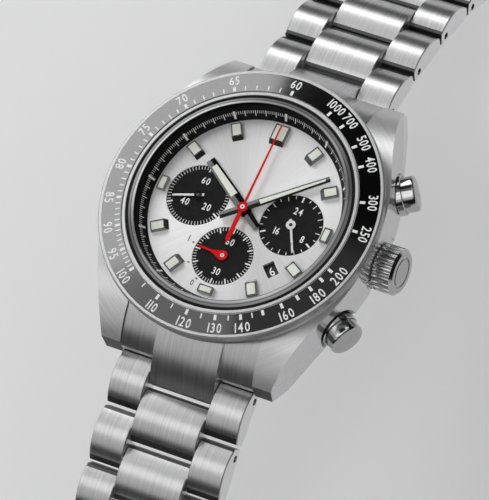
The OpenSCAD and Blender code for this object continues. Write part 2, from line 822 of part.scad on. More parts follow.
module movement_holder() {
    color("dimgray")
        difference() {
            ring(holder_r[0], holder_r[1], z_neck + fit, z_shelf - z_neck - 2 * fit);
            translate([0, 0, crown_z])
                rod_x(crown_tube_r + room, 0, case_w);
            for (side = [1, -1])
                pusher_axis(side)
                    cylinder(r = pusher_tube_r + room, h = case_w);
        }
}

module main_plate() {
    pocket_w = lever_size[0] + 2 * room;
    pocket_l = lever_t + crown_pull + 4 * room;
    color("darkkhaki")
        difference() {
            translate([0, 0, plate_z])
                cylinder(r = plate_r, h = z_plate_top - plate_z);
            ring(date_disc_r[0] - room, date_disc_r[1] + run, z_date - room / 2, case_h);
            // bearings of the central pipes and of the small arbors
            translate([0, 0, plate_z - cut])
                cylinder(r = minute_pipe[1] + run, h = case_h);
            translate([0, 0, z_date - cut])
                cylinder(r = hour_pipe[1] + run, h = case_h);
            for (i = [0 : 2])
                at_counter(i)
                    translate([0, 0, plate_z + cut])
                        cylinder(r = small_arbor_r + run, h = case_h);
            // stem bearing, and the pocket in which the setting lever slides
            translate([0, 0, crown_z])
                rod_x(stem_r + run, stem_end_x - room, case_w);
            translate([lever_x - 2 * room, -pocket_w / 2, plate_z - cut])
                cube([pocket_l, pocket_w, crown_z + lever_size[1] / 2 + room - plate_z + cut]);
        }
}

module circuit_board() {
    color("darkgreen")
        difference() {
            translate([0, 0, z_board])
                cylinder(r = plate_r - 2 * room, h = board_t);
            cylinder(r = minute_pipe[1] + 2 * room, h = case_h);
        }
}

// Three stepping-motor coils around the board
module motor_coils() {
    z = z_board - fit - coil_end[0];
    color("chocolate")
        for (angle = coil_angles)
            rotate([0, 0, angle])
                translate([coil_pos, 0, z])
                    rotate([90, 0, 0]) {
                        cylinder(r = coil_size[0], h = coil_size[1] + 2 * coil_end[1], center = true);
                        for (s = [-1, 1])
                            translate([0, 0, s * (coil_size[1] + coil_end[1]) / 2])
                                cylinder(r = coil_end[0], h = coil_end[1], center = true);
                    }
}

module power_cell() {
    color("lightslategray")
        translate([cell_pos[0], cell_pos[1], z_board - fit - cell_t])
            cylinder(r = cell_r, h = cell_t);
}

module crown_tube() {
    color("silver")
        translate([0, 0, crown_z])
            difference() {
                rod_x(crown_tube_r, case_bore_r, crown_seat_x + crown_tube_out - case_bore_r);
                rod_x(stem_r + room, 0, case_w);
            }
}

module pusher_tubes() {
    color("silver")
        for (side = [1, -1])
            pusher_axis(side)
                difference() {
                    union() {
                        translate([0, 0, pusher_seat_r + fit]) {
                            cylinder(r = collar_r, h = collar_l - collar_chamfer);
                            translate([0, 0, collar_l - collar_chamfer])
                                cylinder(r1 = collar_r, r2 = collar_r - collar_chamfer, h = collar_chamfer);
                        }
                        translate([0, 0, case_bore_r])
                            cylinder(r = pusher_tube_r, h = pusher_seat_r + cut / 2 - case_bore_r);
                    }
                    cylinder(r = pusher_stem_r + run, h = case_w);
                    translate([0, 0, pusher_seat_r + collar_floor])
                        cylinder(r = cap_r + run, h = case_w);
                }
}

module spring_bars() {
    color("gray")
        both_ends()
            translate([0, bar_y, bar_z]) {
                rod_x(bar_r[0], -lug_gap / 2 + lug_clear, lug_gap - 2 * lug_clear);
                rod_x(bar_r[1], -lug_gap / 2 - bar_tip, lug_gap + 2 * bar_tip);
            }
}

// Outline of an end link's sides: the lug outline, a little lower, with a blunt end
module end_side_profile() {
    intersection() {
        translate([lug_drop_y, z_case - lug_r])
            circle(lug_r - end_link_drop);
        polygon([[lug_drop_y, end_under_z], [lug_end_y, end_under_z],
                 [tip_y - lug_tip_slant / 2, end_under_z + link_chamfer],
                 [lug_end_y, z_case], [lug_drop_y, z_case]]);
    }
}

// Outline of an end link's centre: it reaches past the first hinge to its nose
module end_centre_profile() {
    low_z = first_hinge_z - hinge_h;
    intersection() {
        translate([lug_drop_y, z_case - end_link_drop - nose_r])
            circle(nose_r);
        polygon([[lug_drop_y, end_under_z], [first_hinge_y - hinge_u - link_gap, end_under_z],
                 [first_hinge_y - hinge_u - link_gap, low_z + link_chamfer],
                 [first_hinge_y - hinge_u - link_gap + link_chamfer, low_z],
                 [nose_y - link_chamfer, low_z], [nose_y, low_z + link_chamfer],
                 [nose_y, z_case], [lug_drop_y, z_case]]);
    }
}

module end_link() {
    color("silver")
        difference() {
            union() {
                along_x(-bracelet_w / 2, bracelet_w)
                    end_side_profile();
                along_x(-centre_w / 2, centre_w)
                    end_centre_profile();
            }
            cylinder(r = wall_r + run, h = case_h);
            translate([0, 0, z_case - fit])
                cylinder(r = bezel_r, h = case_h);
            translate([0, bar_y, bar_z])
                rod_x(bar_r[0] + run, -case_w, 2 * case_w);
            translate([0, first_hinge_y, first_hinge_z]) {
                rod_x(pin_r + run, -case_w, 2 * case_w);
                // room for the near ends of the first side links to swing
                for (x = [-bracelet_w / 2 - cut, centre_w / 2])
                    rod_x(link_swing_r, x, side_w + row_gap + cut);
            }
        }
}

module end_link_12() {
    end_link();
}

module end_link_6() {
    mirror([0, 1, 0])
        end_link();
}

// Tube of six sides wound round z, closed at both ends
module pusher_spring(side) {
    steps = 8;
    sides = 6;
    rings = spring_turns * steps;
    rise = spring_l - 2 * spring_wire_r;
    points = [for (i = [0 : rings])
        for (j = [0 : sides - 1])
            let (turn = 360 * i / steps, around = 360 * j / sides, r = spring_r + spring_wire_r * cos(around))
                [r * cos(turn), r * sin(turn), spring_wire_r * (1 + sin(around)) + rise * i / rings]];
    walls = [for (i = [0 : rings - 1])
        for (j = [0 : sides - 1])
            let (a = i * sides + j, b = i * sides + (j + 1) % sides)
                each [[a, a + sides, b], [b, a + sides, b + sides]]];
    ends = [for (j = [1 : sides - 2]) each
        [[0, j, j + 1], [rings * sides, rings * sides + j + 1, rings * sides + j]]];
    color("lightgray")
        pusher_axis(side)
            translate([0, 0, spring_s])
                polyhedron(points, concat(walls, ends));
}

// Stick hand with a tail: widths are given at the shoulder, the tip and the tail
module stick_hand(length, width) {
    shoulder = hand_lume_start - hand_frame;
    polygon([[-width[2] / 2, -length[1]], [width[2] / 2, -length[1]], [width[0] / 2, shoulder],
             [width[1] / 2, length[0]], [-width[1] / 2, length[0]], [-width[0] / 2, shoulder]]);
}

// Opening for the filling of a stick hand, drawn in by a clearance
module stick_filling(length, width, clear) {
    inset = hand_frame + clear;
    y0 = hand_lume_start + clear;
    y1 = length[0] - hand_lume_end - clear;
    polygon([[-width[0] / 2 + inset, y0], [width[0] / 2 - inset, y0],
             [width[1] / 2 - inset, y1], [-width[1] / 2 + inset, y1]]);
}

// Roof over a hand that lies along y: two facets that fall to the sides from the ridge
module hand_roof(length, width) {
    half = width[0];
    translate([0, length[0], 0])
        rotate([90, 0, 0])
            linear_extrude(length[0] + length[1])
                polygon([[-half, 0], [half, 0], [half, hand_t - hand_ridge * half],
                         [0, hand_t], [-half, hand_t - hand_ridge * half]]);
}

// Hour or minute hand: frame on its pipe, and the filling as a piece of its own
module framed_hand(length, width, up, pipe, pipe_end) {
    z = z_dial + up;
    difference() {
        union() {
            translate([0, 0, z])
                intersection() {
                    linear_extrude(hand_t)
                        difference() {
                            stick_hand(length, width);
                            stick_filling(length, width, 0);
                        }
                    hand_roof(length, width);
                }
            translate([0, 0, pipe_end])
                cylinder(r = pipe[1], h = z + hand_t - hand_ridge * pipe[1] - pipe_end);
        }
        cylinder(r = pipe[0], h = case_h);
    }
    translate([0, 0, z])
        intersection() {
            translate([0, 0, fit])
                linear_extrude(hand_t)
                    stick_filling(length, width, fit / 2);
            translate([0, 0, -fit])
                hand_roof(length, width);
        }
}

module minute_hand() {
    color("silver")
        clockwise(minute_angle)
            framed_hand(minute_hand_l, minute_hand_w, minute_hand_up, minute_pipe, plate_z + cut);
}

module hour_hand() {
    color("silver")
        clockwise(hour_angle)
            framed_hand(hour_hand_l, hour_hand_w, hour_hand_up, hour_pipe, z_date - cut + room);
}

module chrono_second_hand() {
    z = z_dial + chrono_hand_up;
    w = chrono_hand_w / 2;
    t = chrono_tail_w / 2;
    color("crimson") {
        translate([0, 0, z])
            linear_extrude(slim_t) {
                polygon([[-w[0], 0], [w[0], 0], [w[1], chrono_hand_l[0]], [-w[1], chrono_hand_l[0]]]);
                polygon([[-w[0], 0], [-t, -2 * chrono_hub_r], [-t, chrono_tail_w - chrono_hand_l[1]],
                         [0, -chrono_hand_l[1]], [t, chrono_tail_w - chrono_hand_l[1]],
                         [t, -2 * chrono_hub_r], [w[0], 0]]);
            }
        translate([0, 0, z])
            cylinder(r = chrono_hub_r, h = slim_t + hub_up);
        translate([0, 0, plate_z + cut])
            cylinder(r = arbor_r, h = z + slim_t + hub_up + hub_rim - plate_z - cut);
    }
}

// Hub and arbor shared by the small hands
module small_hub(r) {
    z = z_dial + small_hand_up;
    translate([0, 0, z])
        cylinder(r = r, h = slim_t + hub_up / 2);
    translate([0, 0, plate_z + 2 * cut])
        cylinder(r = small_arbor_r, h = z + slim_t + hub_up - plate_z - 2 * cut);
}

module slim_hand(length, hub_r) {
    w = slim_w / 2;
    translate([0, 0, z_dial + small_hand_up])
        linear_extrude(slim_t)
            polygon([[-w[0], -length[1]], [w[0], -length[1]], [w[1], length[0]], [-w[1], length[0]]]);
    small_hub(hub_r);
}

module running_second_hand() {
    color("gainsboro")
        at_counter(0)
            clockwise(second_angle)
                slim_hand(second_hand_l, slim_hub_r);
}

module day_hand() {
    color("gainsboro")
        at_counter(2)
            clockwise(day_angle)
                slim_hand(day_hand_l, day_hub_r);
}

module chrono_minute_hand() {
    w = slim_w / 2;
    shoulder = chrono_minute_hub_r * cos(30);
    color("crimson")
        at_counter(1)
            clockwise(chrono_minute_angle) {
                translate([0, 0, z_dial + small_hand_up])
                    linear_extrude(slim_t)
                        polygon([[-shoulder, chrono_minute_hub_r / 2], [shoulder, chrono_minute_hub_r / 2],
                                 [w[0], drop_l], [w[1], chrono_minute_l],
                                 [-w[1], chrono_minute_l], [-w[0], drop_l]]);
                small_hub(chrono_minute_hub_r);
            }
}

module date_disc() {
    notch = date_disc_r[0] * PI / date_teeth;
    color("#202020")
        difference() {
            ring(date_disc_r[0], date_disc_r[1], z_date, date_disc_t);
            for (i = [0 : date_teeth - 1])
                rotate([0, 0, 360 * i / date_teeth])
                    translate([date_disc_r[0] - notch, -notch / 2, z_date - cut])
                        cube([2 * notch, notch, date_disc_t + 2 * cut]);
        }
}

// Fork in the neck of the stem: it draws the crown out and holds its place
module setting_lever() {
    color("steelblue")
        translate([0, 0, crown_z])
            difference() {
                translate([lever_x, -lever_size[0] / 2, plate_z + fit - crown_z])
                    cube([lever_t, lever_size[0], crown_z - plate_z - fit + lever_size[1] / 2]);
                rod_x(stem_neck_r + run, 0, case_w);
                translate([0, -stem_neck_r - run, -crown_z])
                    cube([case_w, 2 * (stem_neck_r + run), crown_z]);
            }
}

module crown() {
    shoulder = crown_r - crown_face_r;
    color("gainsboro")
        translate([crown_x, 0, crown_z])
            rotate([0, 90, 0])
                difference() {
                    union() {
                        linear_extrude(crown_l - shoulder)
                            difference() {
                                circle(crown_r);
                                for (i = [0 : flute_count - 1])
                                    rotate(360 * i / flute_count)
                                        translate([crown_r + flute_r / 4, 0])
                                            circle(flute_r);
                            }
                        translate([0, 0, crown_l - shoulder])
                            cylinder(r1 = crown_r, r2 = crown_face_r, h = shoulder);
                    }
                    translate([0, 0, -cut])
                        cylinder(r = crown_bore_r, h = crown_bore_l + cut);
                    cylinder(r = stem_r + fit, h = crown_bore_l + 3 * room);
                    translate([0, 0, crown_seal_z])
                        cylinder(r = crown_bore_r + crown_seal_t, h = crown_seal_h);
                    ring(crown_groove_r - crown_groove[0] / 2, crown_groove_r + crown_groove[0] / 2,
                         crown_l - crown_groove[1], cut);
                }
}

// Groove for the crown's gasket, from the crown's inner end
crown_seal_t = 0.35;
crown_seal_z = 0.5;
crown_seal_h = 0.5;

module crown_gasket() {
    color("#222222")
        translate([crown_x, 0, crown_z])
            rotate([0, 90, 0])
                ring(crown_bore_r, crown_bore_r + crown_seal_t - fit,
                     crown_seal_z + fit, crown_seal_h - 2 * fit);
}

module crown_stem() {
    color("lightgray")
        translate([0, 0, crown_z])
            difference() {
                rod_x(stem_r, stem_end_x, crown_x + crown_bore_l + room - stem_end_x);
                difference() {
                    rod_x(2 * stem_r, lever_x - room / 2, lever_t + room);
                    rod_x(stem_neck_r, 0, case_w);
                }
            }
}

// Outline of a pusher cap from its axis: straight side, rounded edge and an end that swells a little
module cap_outline() {
    dome_r = arc_radius(cap_r, cap_dome);
    edge_pos = [cap_r - cap_edge_r, cap_l];
    dome_z = cap_l - sqrt(pow(dome_r - cap_edge_r, 2) - pow(edge_pos[0], 2));
    meet_r = edge_pos[0] * dome_r / (dome_r - cap_edge_r);
    square([cap_r, cap_l]);
    translate(edge_pos)
        circle(cap_edge_r);
    intersection() {
        translate([0, dome_z])
            circle(dome_r, $fn = arch_fn);
        square([meet_r, 2 * cap_l]);
    }
}

// Pump pusher: hollow cap on a stem that reaches into the movement
module pusher(side) {
    color("gainsboro")
        pusher_axis(side)
            difference() {
                translate([0, 0, cap_s])
                    rotate_extrude()
                        cap_outline();
                difference() {
                    translate([0, 0, cap_s - cut])
                        cylinder(r = cap_r - cap_wall, h = cap_l - cap_wall + cut);
                    cylinder(r = pusher_stem_r, h = case_w);
                }
            }
    color("gainsboro")
        pusher_axis(side)
            translate([0, 0, pusher_stem_end])
                cylinder(r = pusher_stem_r, h = cap_s + cap_l - cap_wall - pusher_stem_end + fit);
}

// A link as wide as w from x0: flat inner face, chamfered ends, arched top with bevelled side edges
module link_bar(x0, w) {
    intersection() {
        along_x(x0, w)
            polygon([[0, link_toe], [link_toe, 0], [link_l - link_heel[0], 0],
                     [link_l, link_heel[1]], [link_l, link_t], [0, link_t]]);
        translate([x0, link_l / 2, link_t - link_top_r])
            rotate([0, 90, 0])
                rotate_extrude()
                    polygon([[0, 0], [link_top_r - link_edge, 0], [link_top_r, link_edge],
                             [link_top_r, w - link_edge], [link_top_r - link_edge, w], [0, w]]);
    }
}

// Puts a piece drawn in link coordinates (x across, y along, z up) at the k-th hinge of the chain
module on_chain(k) {
    translate([0, hinge_at(k)[0], hinge_at(k)[1]])
        rotate([-fall(k), 0, 0])
            translate([0, -hinge_u, -hinge_h])
                children();
}

// Pin or bore along x at a distance and a height in link coordinates
module cross_rod(r, u, h, half_l) {
    translate([0, u, h])
        rod_x(r, -half_l, 2 * half_l);
}

// One link: two side links, the centre link half a pitch further out, hinge pin and fixed pin
module chain_link(k) {
    half_w = bracelet_w / 2;
    on_chain(k) {
        color("silver")
            difference() {
                for (x = [-half_w, half_w - side_w])
                    link_bar(x, side_w);
                cross_rod(pin_r + fit, hinge_u, hinge_h, bracelet_w);
                cross_rod(pin_r + fit, far_pin_u, hinge_h, half_w - pin_cover + fit);
            }
        color("lightgray")
            difference() {
                translate([0, centre_u, 0])
                    link_bar(-centre_w / 2, centre_w);
                cross_rod(pin_r + fit, far_pin_u, hinge_h, bracelet_w);
                cross_rod(pin_r + run, hinge_u + link_pitch, hinge_h, bracelet_w);
            }
        color("gray") {
            cross_rod(pin_r, hinge_u, hinge_h, half_w - pin_sunk);
            cross_rod(pin_r, far_pin_u, hinge_h, half_w - pin_cover);
        }
    }
}

module link_12(n) {
    chain_link(n - 1);
}

module link_6(n) {
    mirror([0, 1, 0])
        chain_link(n - 1);
}

// Clasp pieces are drawn in link coordinates at the hinge after the last 6 o'clock link
module on_clasp() {
    mirror([0, 1, 0])
        on_chain(links_6)
            children();
}

module cover_profile() {
    intersection() {
        translate([cover_l / 2, cover_t - cover_arch_r])
            circle(cover_arch_r, $fn = arch_fn);
        polygon([[0, link_chamfer], [link_chamfer, 0], [cover_l - link_chamfer, 0],
                 [cover_l, link_chamfer], [cover_l, cover_t], [0, cover_t]]);
    }
}

module clasp_cover() {
    half_w = bracelet_w / 2;
    notch_half_w = centre_w / 2 + row_gap;
    channel_half_w = half_w - cover_wall;
    color("silver")
        on_clasp()
            difference() {
                along_x(-half_w, bracelet_w)
                    cover_profile();
                // room for the last centre link
                translate([-notch_half_w, -cut, -cut])
                    cube([2 * notch_half_w, cut + centre_u, cover_t + 2 * cut]);
                translate([-channel_half_w, channel_start, -cut])
                    cube([2 * channel_half_w, cover_l, cut + channel_h]);
                cross_rod(pin_r + fit, hinge_u, hinge_h, bracelet_w);
                cross_rod(leaf_pin_r + fit, outer_pivot[0], outer_pivot[1], half_w - pin_sunk);
                cross_rod(button_r[0] + run, button_pos[0], button_pos[1], bracelet_w);
            }
}

// Pins that stay in the cover: at the bracelet hinge and at the outer leaf's pivot
module clasp_cover_pin() {
    half_w = bracelet_w / 2;
    color("gray")
        on_clasp() {
            cross_rod(pin_r, hinge_u, hinge_h, half_w - pin_sunk);
            cross_rod(leaf_pin_r, outer_pivot[0], outer_pivot[1], half_w - pin_sunk - fit);
        }
}

// Half width of the middle knuckle between the leaves
middle_knuckle = 3.9;

module clasp_outer_leaf() {
    z_top = channel_h - room;
    color("gainsboro")
        on_clasp()
            difference() {
                union() {
                    translate([-leaf_half_w, inner_pivot[0], z_top - leaf_t])
                        cube([2 * leaf_half_w, outer_pivot[0] - inner_pivot[0], leaf_t]);
                    cross_rod(knuckle_r[0], outer_pivot[0], outer_pivot[1], leaf_half_w);
                    cross_rod(knuckle_r[1], inner_pivot[0], inner_pivot[1], leaf_half_w);
                }
                // room for the inner leaf's knuckle
                translate([-middle_knuckle - room, 0, -cover_t])
                    cube([2 * (middle_knuckle + room), inner_pivot[0] + knuckle_r[1] + room, 2 * cover_t]);
                cross_rod(leaf_pin_r + run, outer_pivot[0], outer_pivot[1], bracelet_w);
                cross_rod(leaf_pin_r + fit, inner_pivot[0], inner_pivot[1], bracelet_w);
            }
}

module clasp_leaf_pin() {
    color("gray")
        on_clasp()
            cross_rod(leaf_pin_r, inner_pivot[0], inner_pivot[1], leaf_half_w - pin_sunk);
}

module clasp_inner_leaf() {
    z_top = channel_h - room - leaf_t - room;
    eye_half_w = centre_w / 2 + row_gap;
    plate_start = inner_pivot[0] + knuckle_r[1] + room;
    color("gainsboro")
        on_clasp()
            difference() {
                union() {
                    translate([-leaf_half_w, plate_start, z_top - leaf_t])
                        cube([2 * leaf_half_w, open_eye[0] - plate_start, leaf_t]);
                    translate([-middle_knuckle, inner_pivot[0], z_top - leaf_t])
                        cube([2 * middle_knuckle, 2 * knuckle_r[1], leaf_t]);
                    cross_rod(knuckle_r[1], inner_pivot[0], inner_pivot[1], middle_knuckle);
                    cross_rod(knuckle_r[2], open_eye[0], open_eye[1], leaf_half_w);
                }
                // open eye: the last centre link of the 12 o'clock side goes here when the strap is joined
                translate([-eye_half_w, open_eye[0] - hinge_u - link_gap, -cover_t])
                    cube([2 * eye_half_w, cover_l, 2 * cover_t]);
                cross_rod(pin_r + run, open_eye[0], open_eye[1], bracelet_w);
                cross_rod(leaf_pin_r + run, inner_pivot[0], inner_pivot[1], bracelet_w);
            }
}

// Push button in a side wall of the cover, with a flange behind the wall
module clasp_button(side) {
    inner_x = bracelet_w / 2 - cover_wall - fit;
    flange_t = inner_x - leaf_half_w - button_travel - room;
    color("gainsboro")
        on_clasp()
            translate([0, button_pos[0], button_pos[1]])
                mirror([side < 0 ? 1 : 0, 0, 0]) {
                    rod_x(button_r[0], inner_x - flange_t, flange_t + fit + cover_wall + button_out);
                    rod_x(button_r[1], inner_x - flange_t, flange_t);
                }
}

case_body();
case_back();
case_back_gasket();
bezel_ring();
bezel_insert();
crystal();
crystal_gasket();
flange_ring();
dial();
hour_markers();
marker_lume();
solar_cell();
movement_holder();
main_plate();
circuit_board();
motor_coils();
power_cell();
crown_tube();
pusher_tubes();
spring_bars();
end_link_12();
end_link_6();
pusher_spring(1);  // pusher_spring_2
pusher_spring(-1);  // pusher_spring_4
minute_hand();
hour_hand();
chrono_second_hand();
running_second_hand();
chrono_minute_hand();
day_hand();
date_disc();
setting_lever();
crown();
crown_stem();
crown_gasket();
pusher(1);  // pusher_2
pusher(-1);  // pusher_4
link_12(1);  // link_12_1
link_12(2);  // link_12_2
link_12(3);  // link_12_3
link_12(4);  // link_12_4
link_12(5);  // link_12_5
link_12(6);  // link_12_6
link_6(1);  // link_6_1
link_6(2);  // link_6_2
link_6(3);  // link_6_3
link_6(4);  // link_6_4
link_6(5);  // link_6_5
clasp_cover();
clasp_cover_pin();
clasp_outer_leaf();
clasp_leaf_pin();
clasp_inner_leaf();
clasp_button(-1);  // clasp_button_left
clasp_button(1);  // clasp_button_right
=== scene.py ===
"""Finishes, dial printing and studio for a chronograph wristwatch on a steel bracelet."""

import json
import math

import bpy
from bpy.props import FloatProperty, FloatVectorProperty, PointerProperty
from bpy.types import Operator, Panel, PropertyGroup
from mathutils import Matrix, Vector

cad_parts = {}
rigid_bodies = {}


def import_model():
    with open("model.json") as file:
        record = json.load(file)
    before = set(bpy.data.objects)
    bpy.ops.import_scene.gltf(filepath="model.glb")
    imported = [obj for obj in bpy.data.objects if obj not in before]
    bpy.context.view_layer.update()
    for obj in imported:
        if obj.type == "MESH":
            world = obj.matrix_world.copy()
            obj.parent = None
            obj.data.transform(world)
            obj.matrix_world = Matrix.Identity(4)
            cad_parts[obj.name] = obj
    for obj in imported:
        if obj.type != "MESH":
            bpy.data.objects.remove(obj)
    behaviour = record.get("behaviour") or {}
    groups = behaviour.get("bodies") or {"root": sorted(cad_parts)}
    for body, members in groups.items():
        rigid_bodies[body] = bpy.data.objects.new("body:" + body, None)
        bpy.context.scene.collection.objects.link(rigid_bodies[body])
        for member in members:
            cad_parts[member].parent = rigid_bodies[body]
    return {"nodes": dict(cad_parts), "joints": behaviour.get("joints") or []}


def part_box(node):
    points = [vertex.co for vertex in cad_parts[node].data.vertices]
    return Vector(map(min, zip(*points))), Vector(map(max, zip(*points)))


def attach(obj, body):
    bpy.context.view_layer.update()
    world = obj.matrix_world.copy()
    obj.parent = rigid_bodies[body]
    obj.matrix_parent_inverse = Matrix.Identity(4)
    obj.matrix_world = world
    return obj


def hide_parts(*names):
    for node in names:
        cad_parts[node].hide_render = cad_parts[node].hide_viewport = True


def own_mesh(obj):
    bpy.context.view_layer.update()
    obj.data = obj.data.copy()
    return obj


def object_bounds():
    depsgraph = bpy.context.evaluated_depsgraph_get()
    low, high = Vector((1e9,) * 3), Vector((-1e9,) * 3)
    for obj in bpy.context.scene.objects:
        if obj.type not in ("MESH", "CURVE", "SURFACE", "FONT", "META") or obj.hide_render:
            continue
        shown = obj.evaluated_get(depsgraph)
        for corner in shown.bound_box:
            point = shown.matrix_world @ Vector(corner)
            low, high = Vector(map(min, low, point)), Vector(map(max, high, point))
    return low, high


bl_info = {
    "name": "Chronograph Wristwatch",
    "version": (1, 0, 0),
    "blender": (4, 5, 0),
    "location": "3D View > Sidebar > Watch",
    "description": "Finishes a chronograph wristwatch and prints its dial and scales",
    "category": "Object",
}

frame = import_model()
NODES = frame["nodes"]
CAD_BOX = [list(corner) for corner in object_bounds()]
MM = 0.001


def ring_of(node):
    """Outer radius, lowest and highest level of a node round the dial's axis, in millimetres."""
    low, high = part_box(node)
    return high.x / MM, low.z / MM, high.z / MM


# Sizes of the CAD that the printing follows, in millimetres
*_, DIAL_TOP = ring_of("dial")
*_, INSERT_TOP = ring_of("bezel_insert")
CRYSTAL_R, CRYSTAL_UNDER, CRYSTAL_TOP = ring_of("crystal")
INSERT_INNER_R, INSERT_FALL = 17.14, 0.134
FLANGE_FOOT, FLANGE_TOP = (14.0, DIAL_TOP + 0.02), (15.22, CRYSTAL_UNDER - 0.02)
COUNTER_FLOOR = DIAL_TOP - 0.12
COUNTERS = {  # middle and radius
    "running_second": (-7.37, 0.0, 4.65),
    "chrono_minute": (0.0, -7.37, 4.45),
    "day": (7.37, 0.0, 4.65),
}
SHARP = 40  # degrees between faces from which an edge of a turned piece stays sharp


class WatchFinishes(PropertyGroup):
    """Colours of the watch's surfaces."""

    steel: FloatVectorProperty(
        name="Steel", description="Colour of the steel", subtype="COLOR", size=3,
        default=(0.56, 0.56, 0.565), min=0, max=1)
    dial: FloatVectorProperty(
        name="Dial", description="Colour of the silvered dial", subtype="COLOR", size=3,
        default=(0.84, 0.84, 0.84), min=0, max=1)
    black: FloatVectorProperty(
        name="Black", description="Colour of the counters and the flange", subtype="COLOR", size=3,
        default=(0.009, 0.009, 0.0095), min=0, max=1)
    insert: FloatVectorProperty(
        name="Insert", description="Colour of the bezel insert", subtype="COLOR", size=3,
        default=(0.15, 0.15, 0.152), min=0, max=1)
    lume: FloatVectorProperty(
        name="Lume", description="Colour of the luminous filling", subtype="COLOR", size=3,
        default=(0.86, 0.9, 0.8), min=0, max=1)
    red: FloatVectorProperty(
        name="Red", description="Colour of the chronograph hands", subtype="COLOR", size=3,
        default=(0.7, 0.004, 0.007), min=0, max=1)
    ink: FloatVectorProperty(
        name="White ink", description="Colour of the printed scales", subtype="COLOR", size=3,
        default=(0.94, 0.94, 0.93), min=0, max=1)


class WatchScales(PropertyGroup):
    """Sizes of the printed scales."""

    bezel_digit_h: FloatProperty(
        name="Bezel numerals", description="Height of the numerals on the bezel insert",
        default=1.36 * MM, min=0.5 * MM, max=2 * MM, unit="LENGTH")
    counter_digit_h: FloatProperty(
        name="Counter numerals", description="Height of the numerals in the counters",
        default=1.06 * MM, min=0.4 * MM, max=1.5 * MM, unit="LENGTH")
    ink_t: FloatProperty(
        name="Ink thickness", description="Height of the printing above its ground",
        default=0.02 * MM, min=0.005 * MM, max=0.05 * MM, unit="LENGTH")


class WatchStage(PropertyGroup):
    """Floor, light and camera."""

    floor: FloatVectorProperty(
        name="Floor", description="Colour of the floor", subtype="COLOR", size=3,
        default=(0.88, 0.88, 0.885), min=0, max=1)
    left: FloatProperty(
        name="Left light", description="Power of the soft box on the left",
        default=8.0, min=0, max=50, unit="POWER")
    back: FloatProperty(
        name="Back light", description="Power of the soft box behind the watch",
        default=3.7, min=0, max=50, unit="POWER")
    front: FloatProperty(
        name="Front light", description="Power of the three soft boxes in front of the watch",
        default=4.6, min=0, max=50, unit="POWER")
    top: FloatProperty(
        name="Top light", description="Power of the flat soft box above",
        default=4.2, min=0, max=50, unit="POWER")
    lens: FloatProperty(
        name="Lens", description="Focal length for a 36 mm sensor, in millimetres",
        default=409.8, min=50, max=1000, unit="CAMERA")


# Meshes

class Shape:
    """Vertices in millimetres and faces of a piece while it is built."""

    def __init__(self):
        self.points, self.faces = [], []

    def add(self, points, faces):
        """Adds faces that number these points from 0."""
        start = len(self.points)
        self.points += points
        self.faces += [[i + start for i in f] for f in faces]

    def prism(self, base, top):
        """Closed solid between two outlines of equal length, clockwise as seen from the top one."""
        n = len(base)
        ends = [list(range(n)), [n + i for i in reversed(range(n))]]
        sides = [[(i + 1) % n, i, n + i, n + (i + 1) % n] for i in range(n)]
        self.add(list(base) + list(top), ends + sides)

    def lathe(self, outline, steps, centre=(0.0, 0.0)):
        """Turns a closed outline of (radius, level) about an upright axis."""
        n = len(outline)
        points, faces = [], []
        for k in range(steps):
            a = 2 * math.pi * k / steps
            x, y = math.cos(a), math.sin(a)
            points += [(centre[0] + r * x, centre[1] + r * y, z) for r, z in outline]
            for i in range(n):
                j, m = (i + 1) % n, ((k + 1) % steps) * n
                faces.append([k * n + i, m + i, m + j, k * n + j])
        self.add(points, faces)

    def ring(self, r0, r1, low, high, centre, steps=32):
        """Flat round plate on an upright axis, with a hole unless its inner radius is 0."""
        if r0:
            self.lathe([(r0, low), (r1, low), (r1, high), (r0, high)], steps, centre)
            return
        turn = [2 * math.pi * k / steps for k in reversed(range(steps))]
        rim = [(centre[0] + r1 * math.cos(a), centre[1] + r1 * math.sin(a)) for a in turn]
        self.prism(*[[(x, y, z) for x, y in rim] for z in (low, high)])

    def mesh(self, name, material):
        """Blender mesh of the shape, in metres."""
        mesh = bpy.data.meshes.new(name)
        mesh.from_pydata([[v * MM for v in point] for point in self.points], [], self.faces)
        mesh.validate()
        mesh.materials.append(material)
        return mesh

    def piece(self, name, material, body, smooth=None):
        """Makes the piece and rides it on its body."""
        mesh = self.mesh(name, MATERIALS[material])
        if smooth:
            mesh.shade_smooth()
            mesh.set_sharp_from_angle(angle=math.radians(smooth))
        obj = link_object(name, mesh)
        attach(obj, body)


def link_object(name, data):
    """Object of a mesh, lamp or camera, in the scene."""
    obj = bpy.data.objects.new(name, data)
    bpy.context.scene.collection.objects.link(obj)
    return obj


def around(angle, r):
    """Point on a circle: angle in degrees, clockwise from 12."""
    a = math.radians(angle)
    return r * math.sin(a), r * math.cos(a)


def reach(name, angle):
    """Distance from the dial's axis to the end of a CAD node in a direction, in millimetres."""
    x, y = around(angle, 1)
    return max(v.co.x * x + v.co.y * y for v in NODES[name].data.vertices) / MM


def by_step(count, marks):
    """Sizes of the first mark whose step, its leading value, divides a count."""
    return next(mark[1:] for mark in marks if count % mark[0] == 0)


class Ground:
    """Surface for printing: place(x, y, up) gives the point for local sizes in millimetres."""

    def __init__(self, place):
        self.place = place

    def bar(self, shape, x0, x1, y0, y1, t):
        """Printed bar that goes half as far into the ground as it stands above it."""
        corners = [(x0, y0), (x0, y1), (x1, y1), (x1, y0)]
        shape.prism([self.place(x, y, -t / 2) for x, y in corners],
                    [self.place(x, y, t) for x, y in corners])


def insert_ground(angle, r, flip):
    """Ground on the insert, bent along its circle: tops point outwards, or inwards if flipped."""
    sign = -1 if flip else 1

    def place(x, y, up):
        rr = r + sign * y
        px, py = around(angle + sign * math.degrees(x / r), rr)
        return px, py, INSERT_TOP - (rr - INSERT_INNER_R) * INSERT_FALL + up
    return Ground(place)


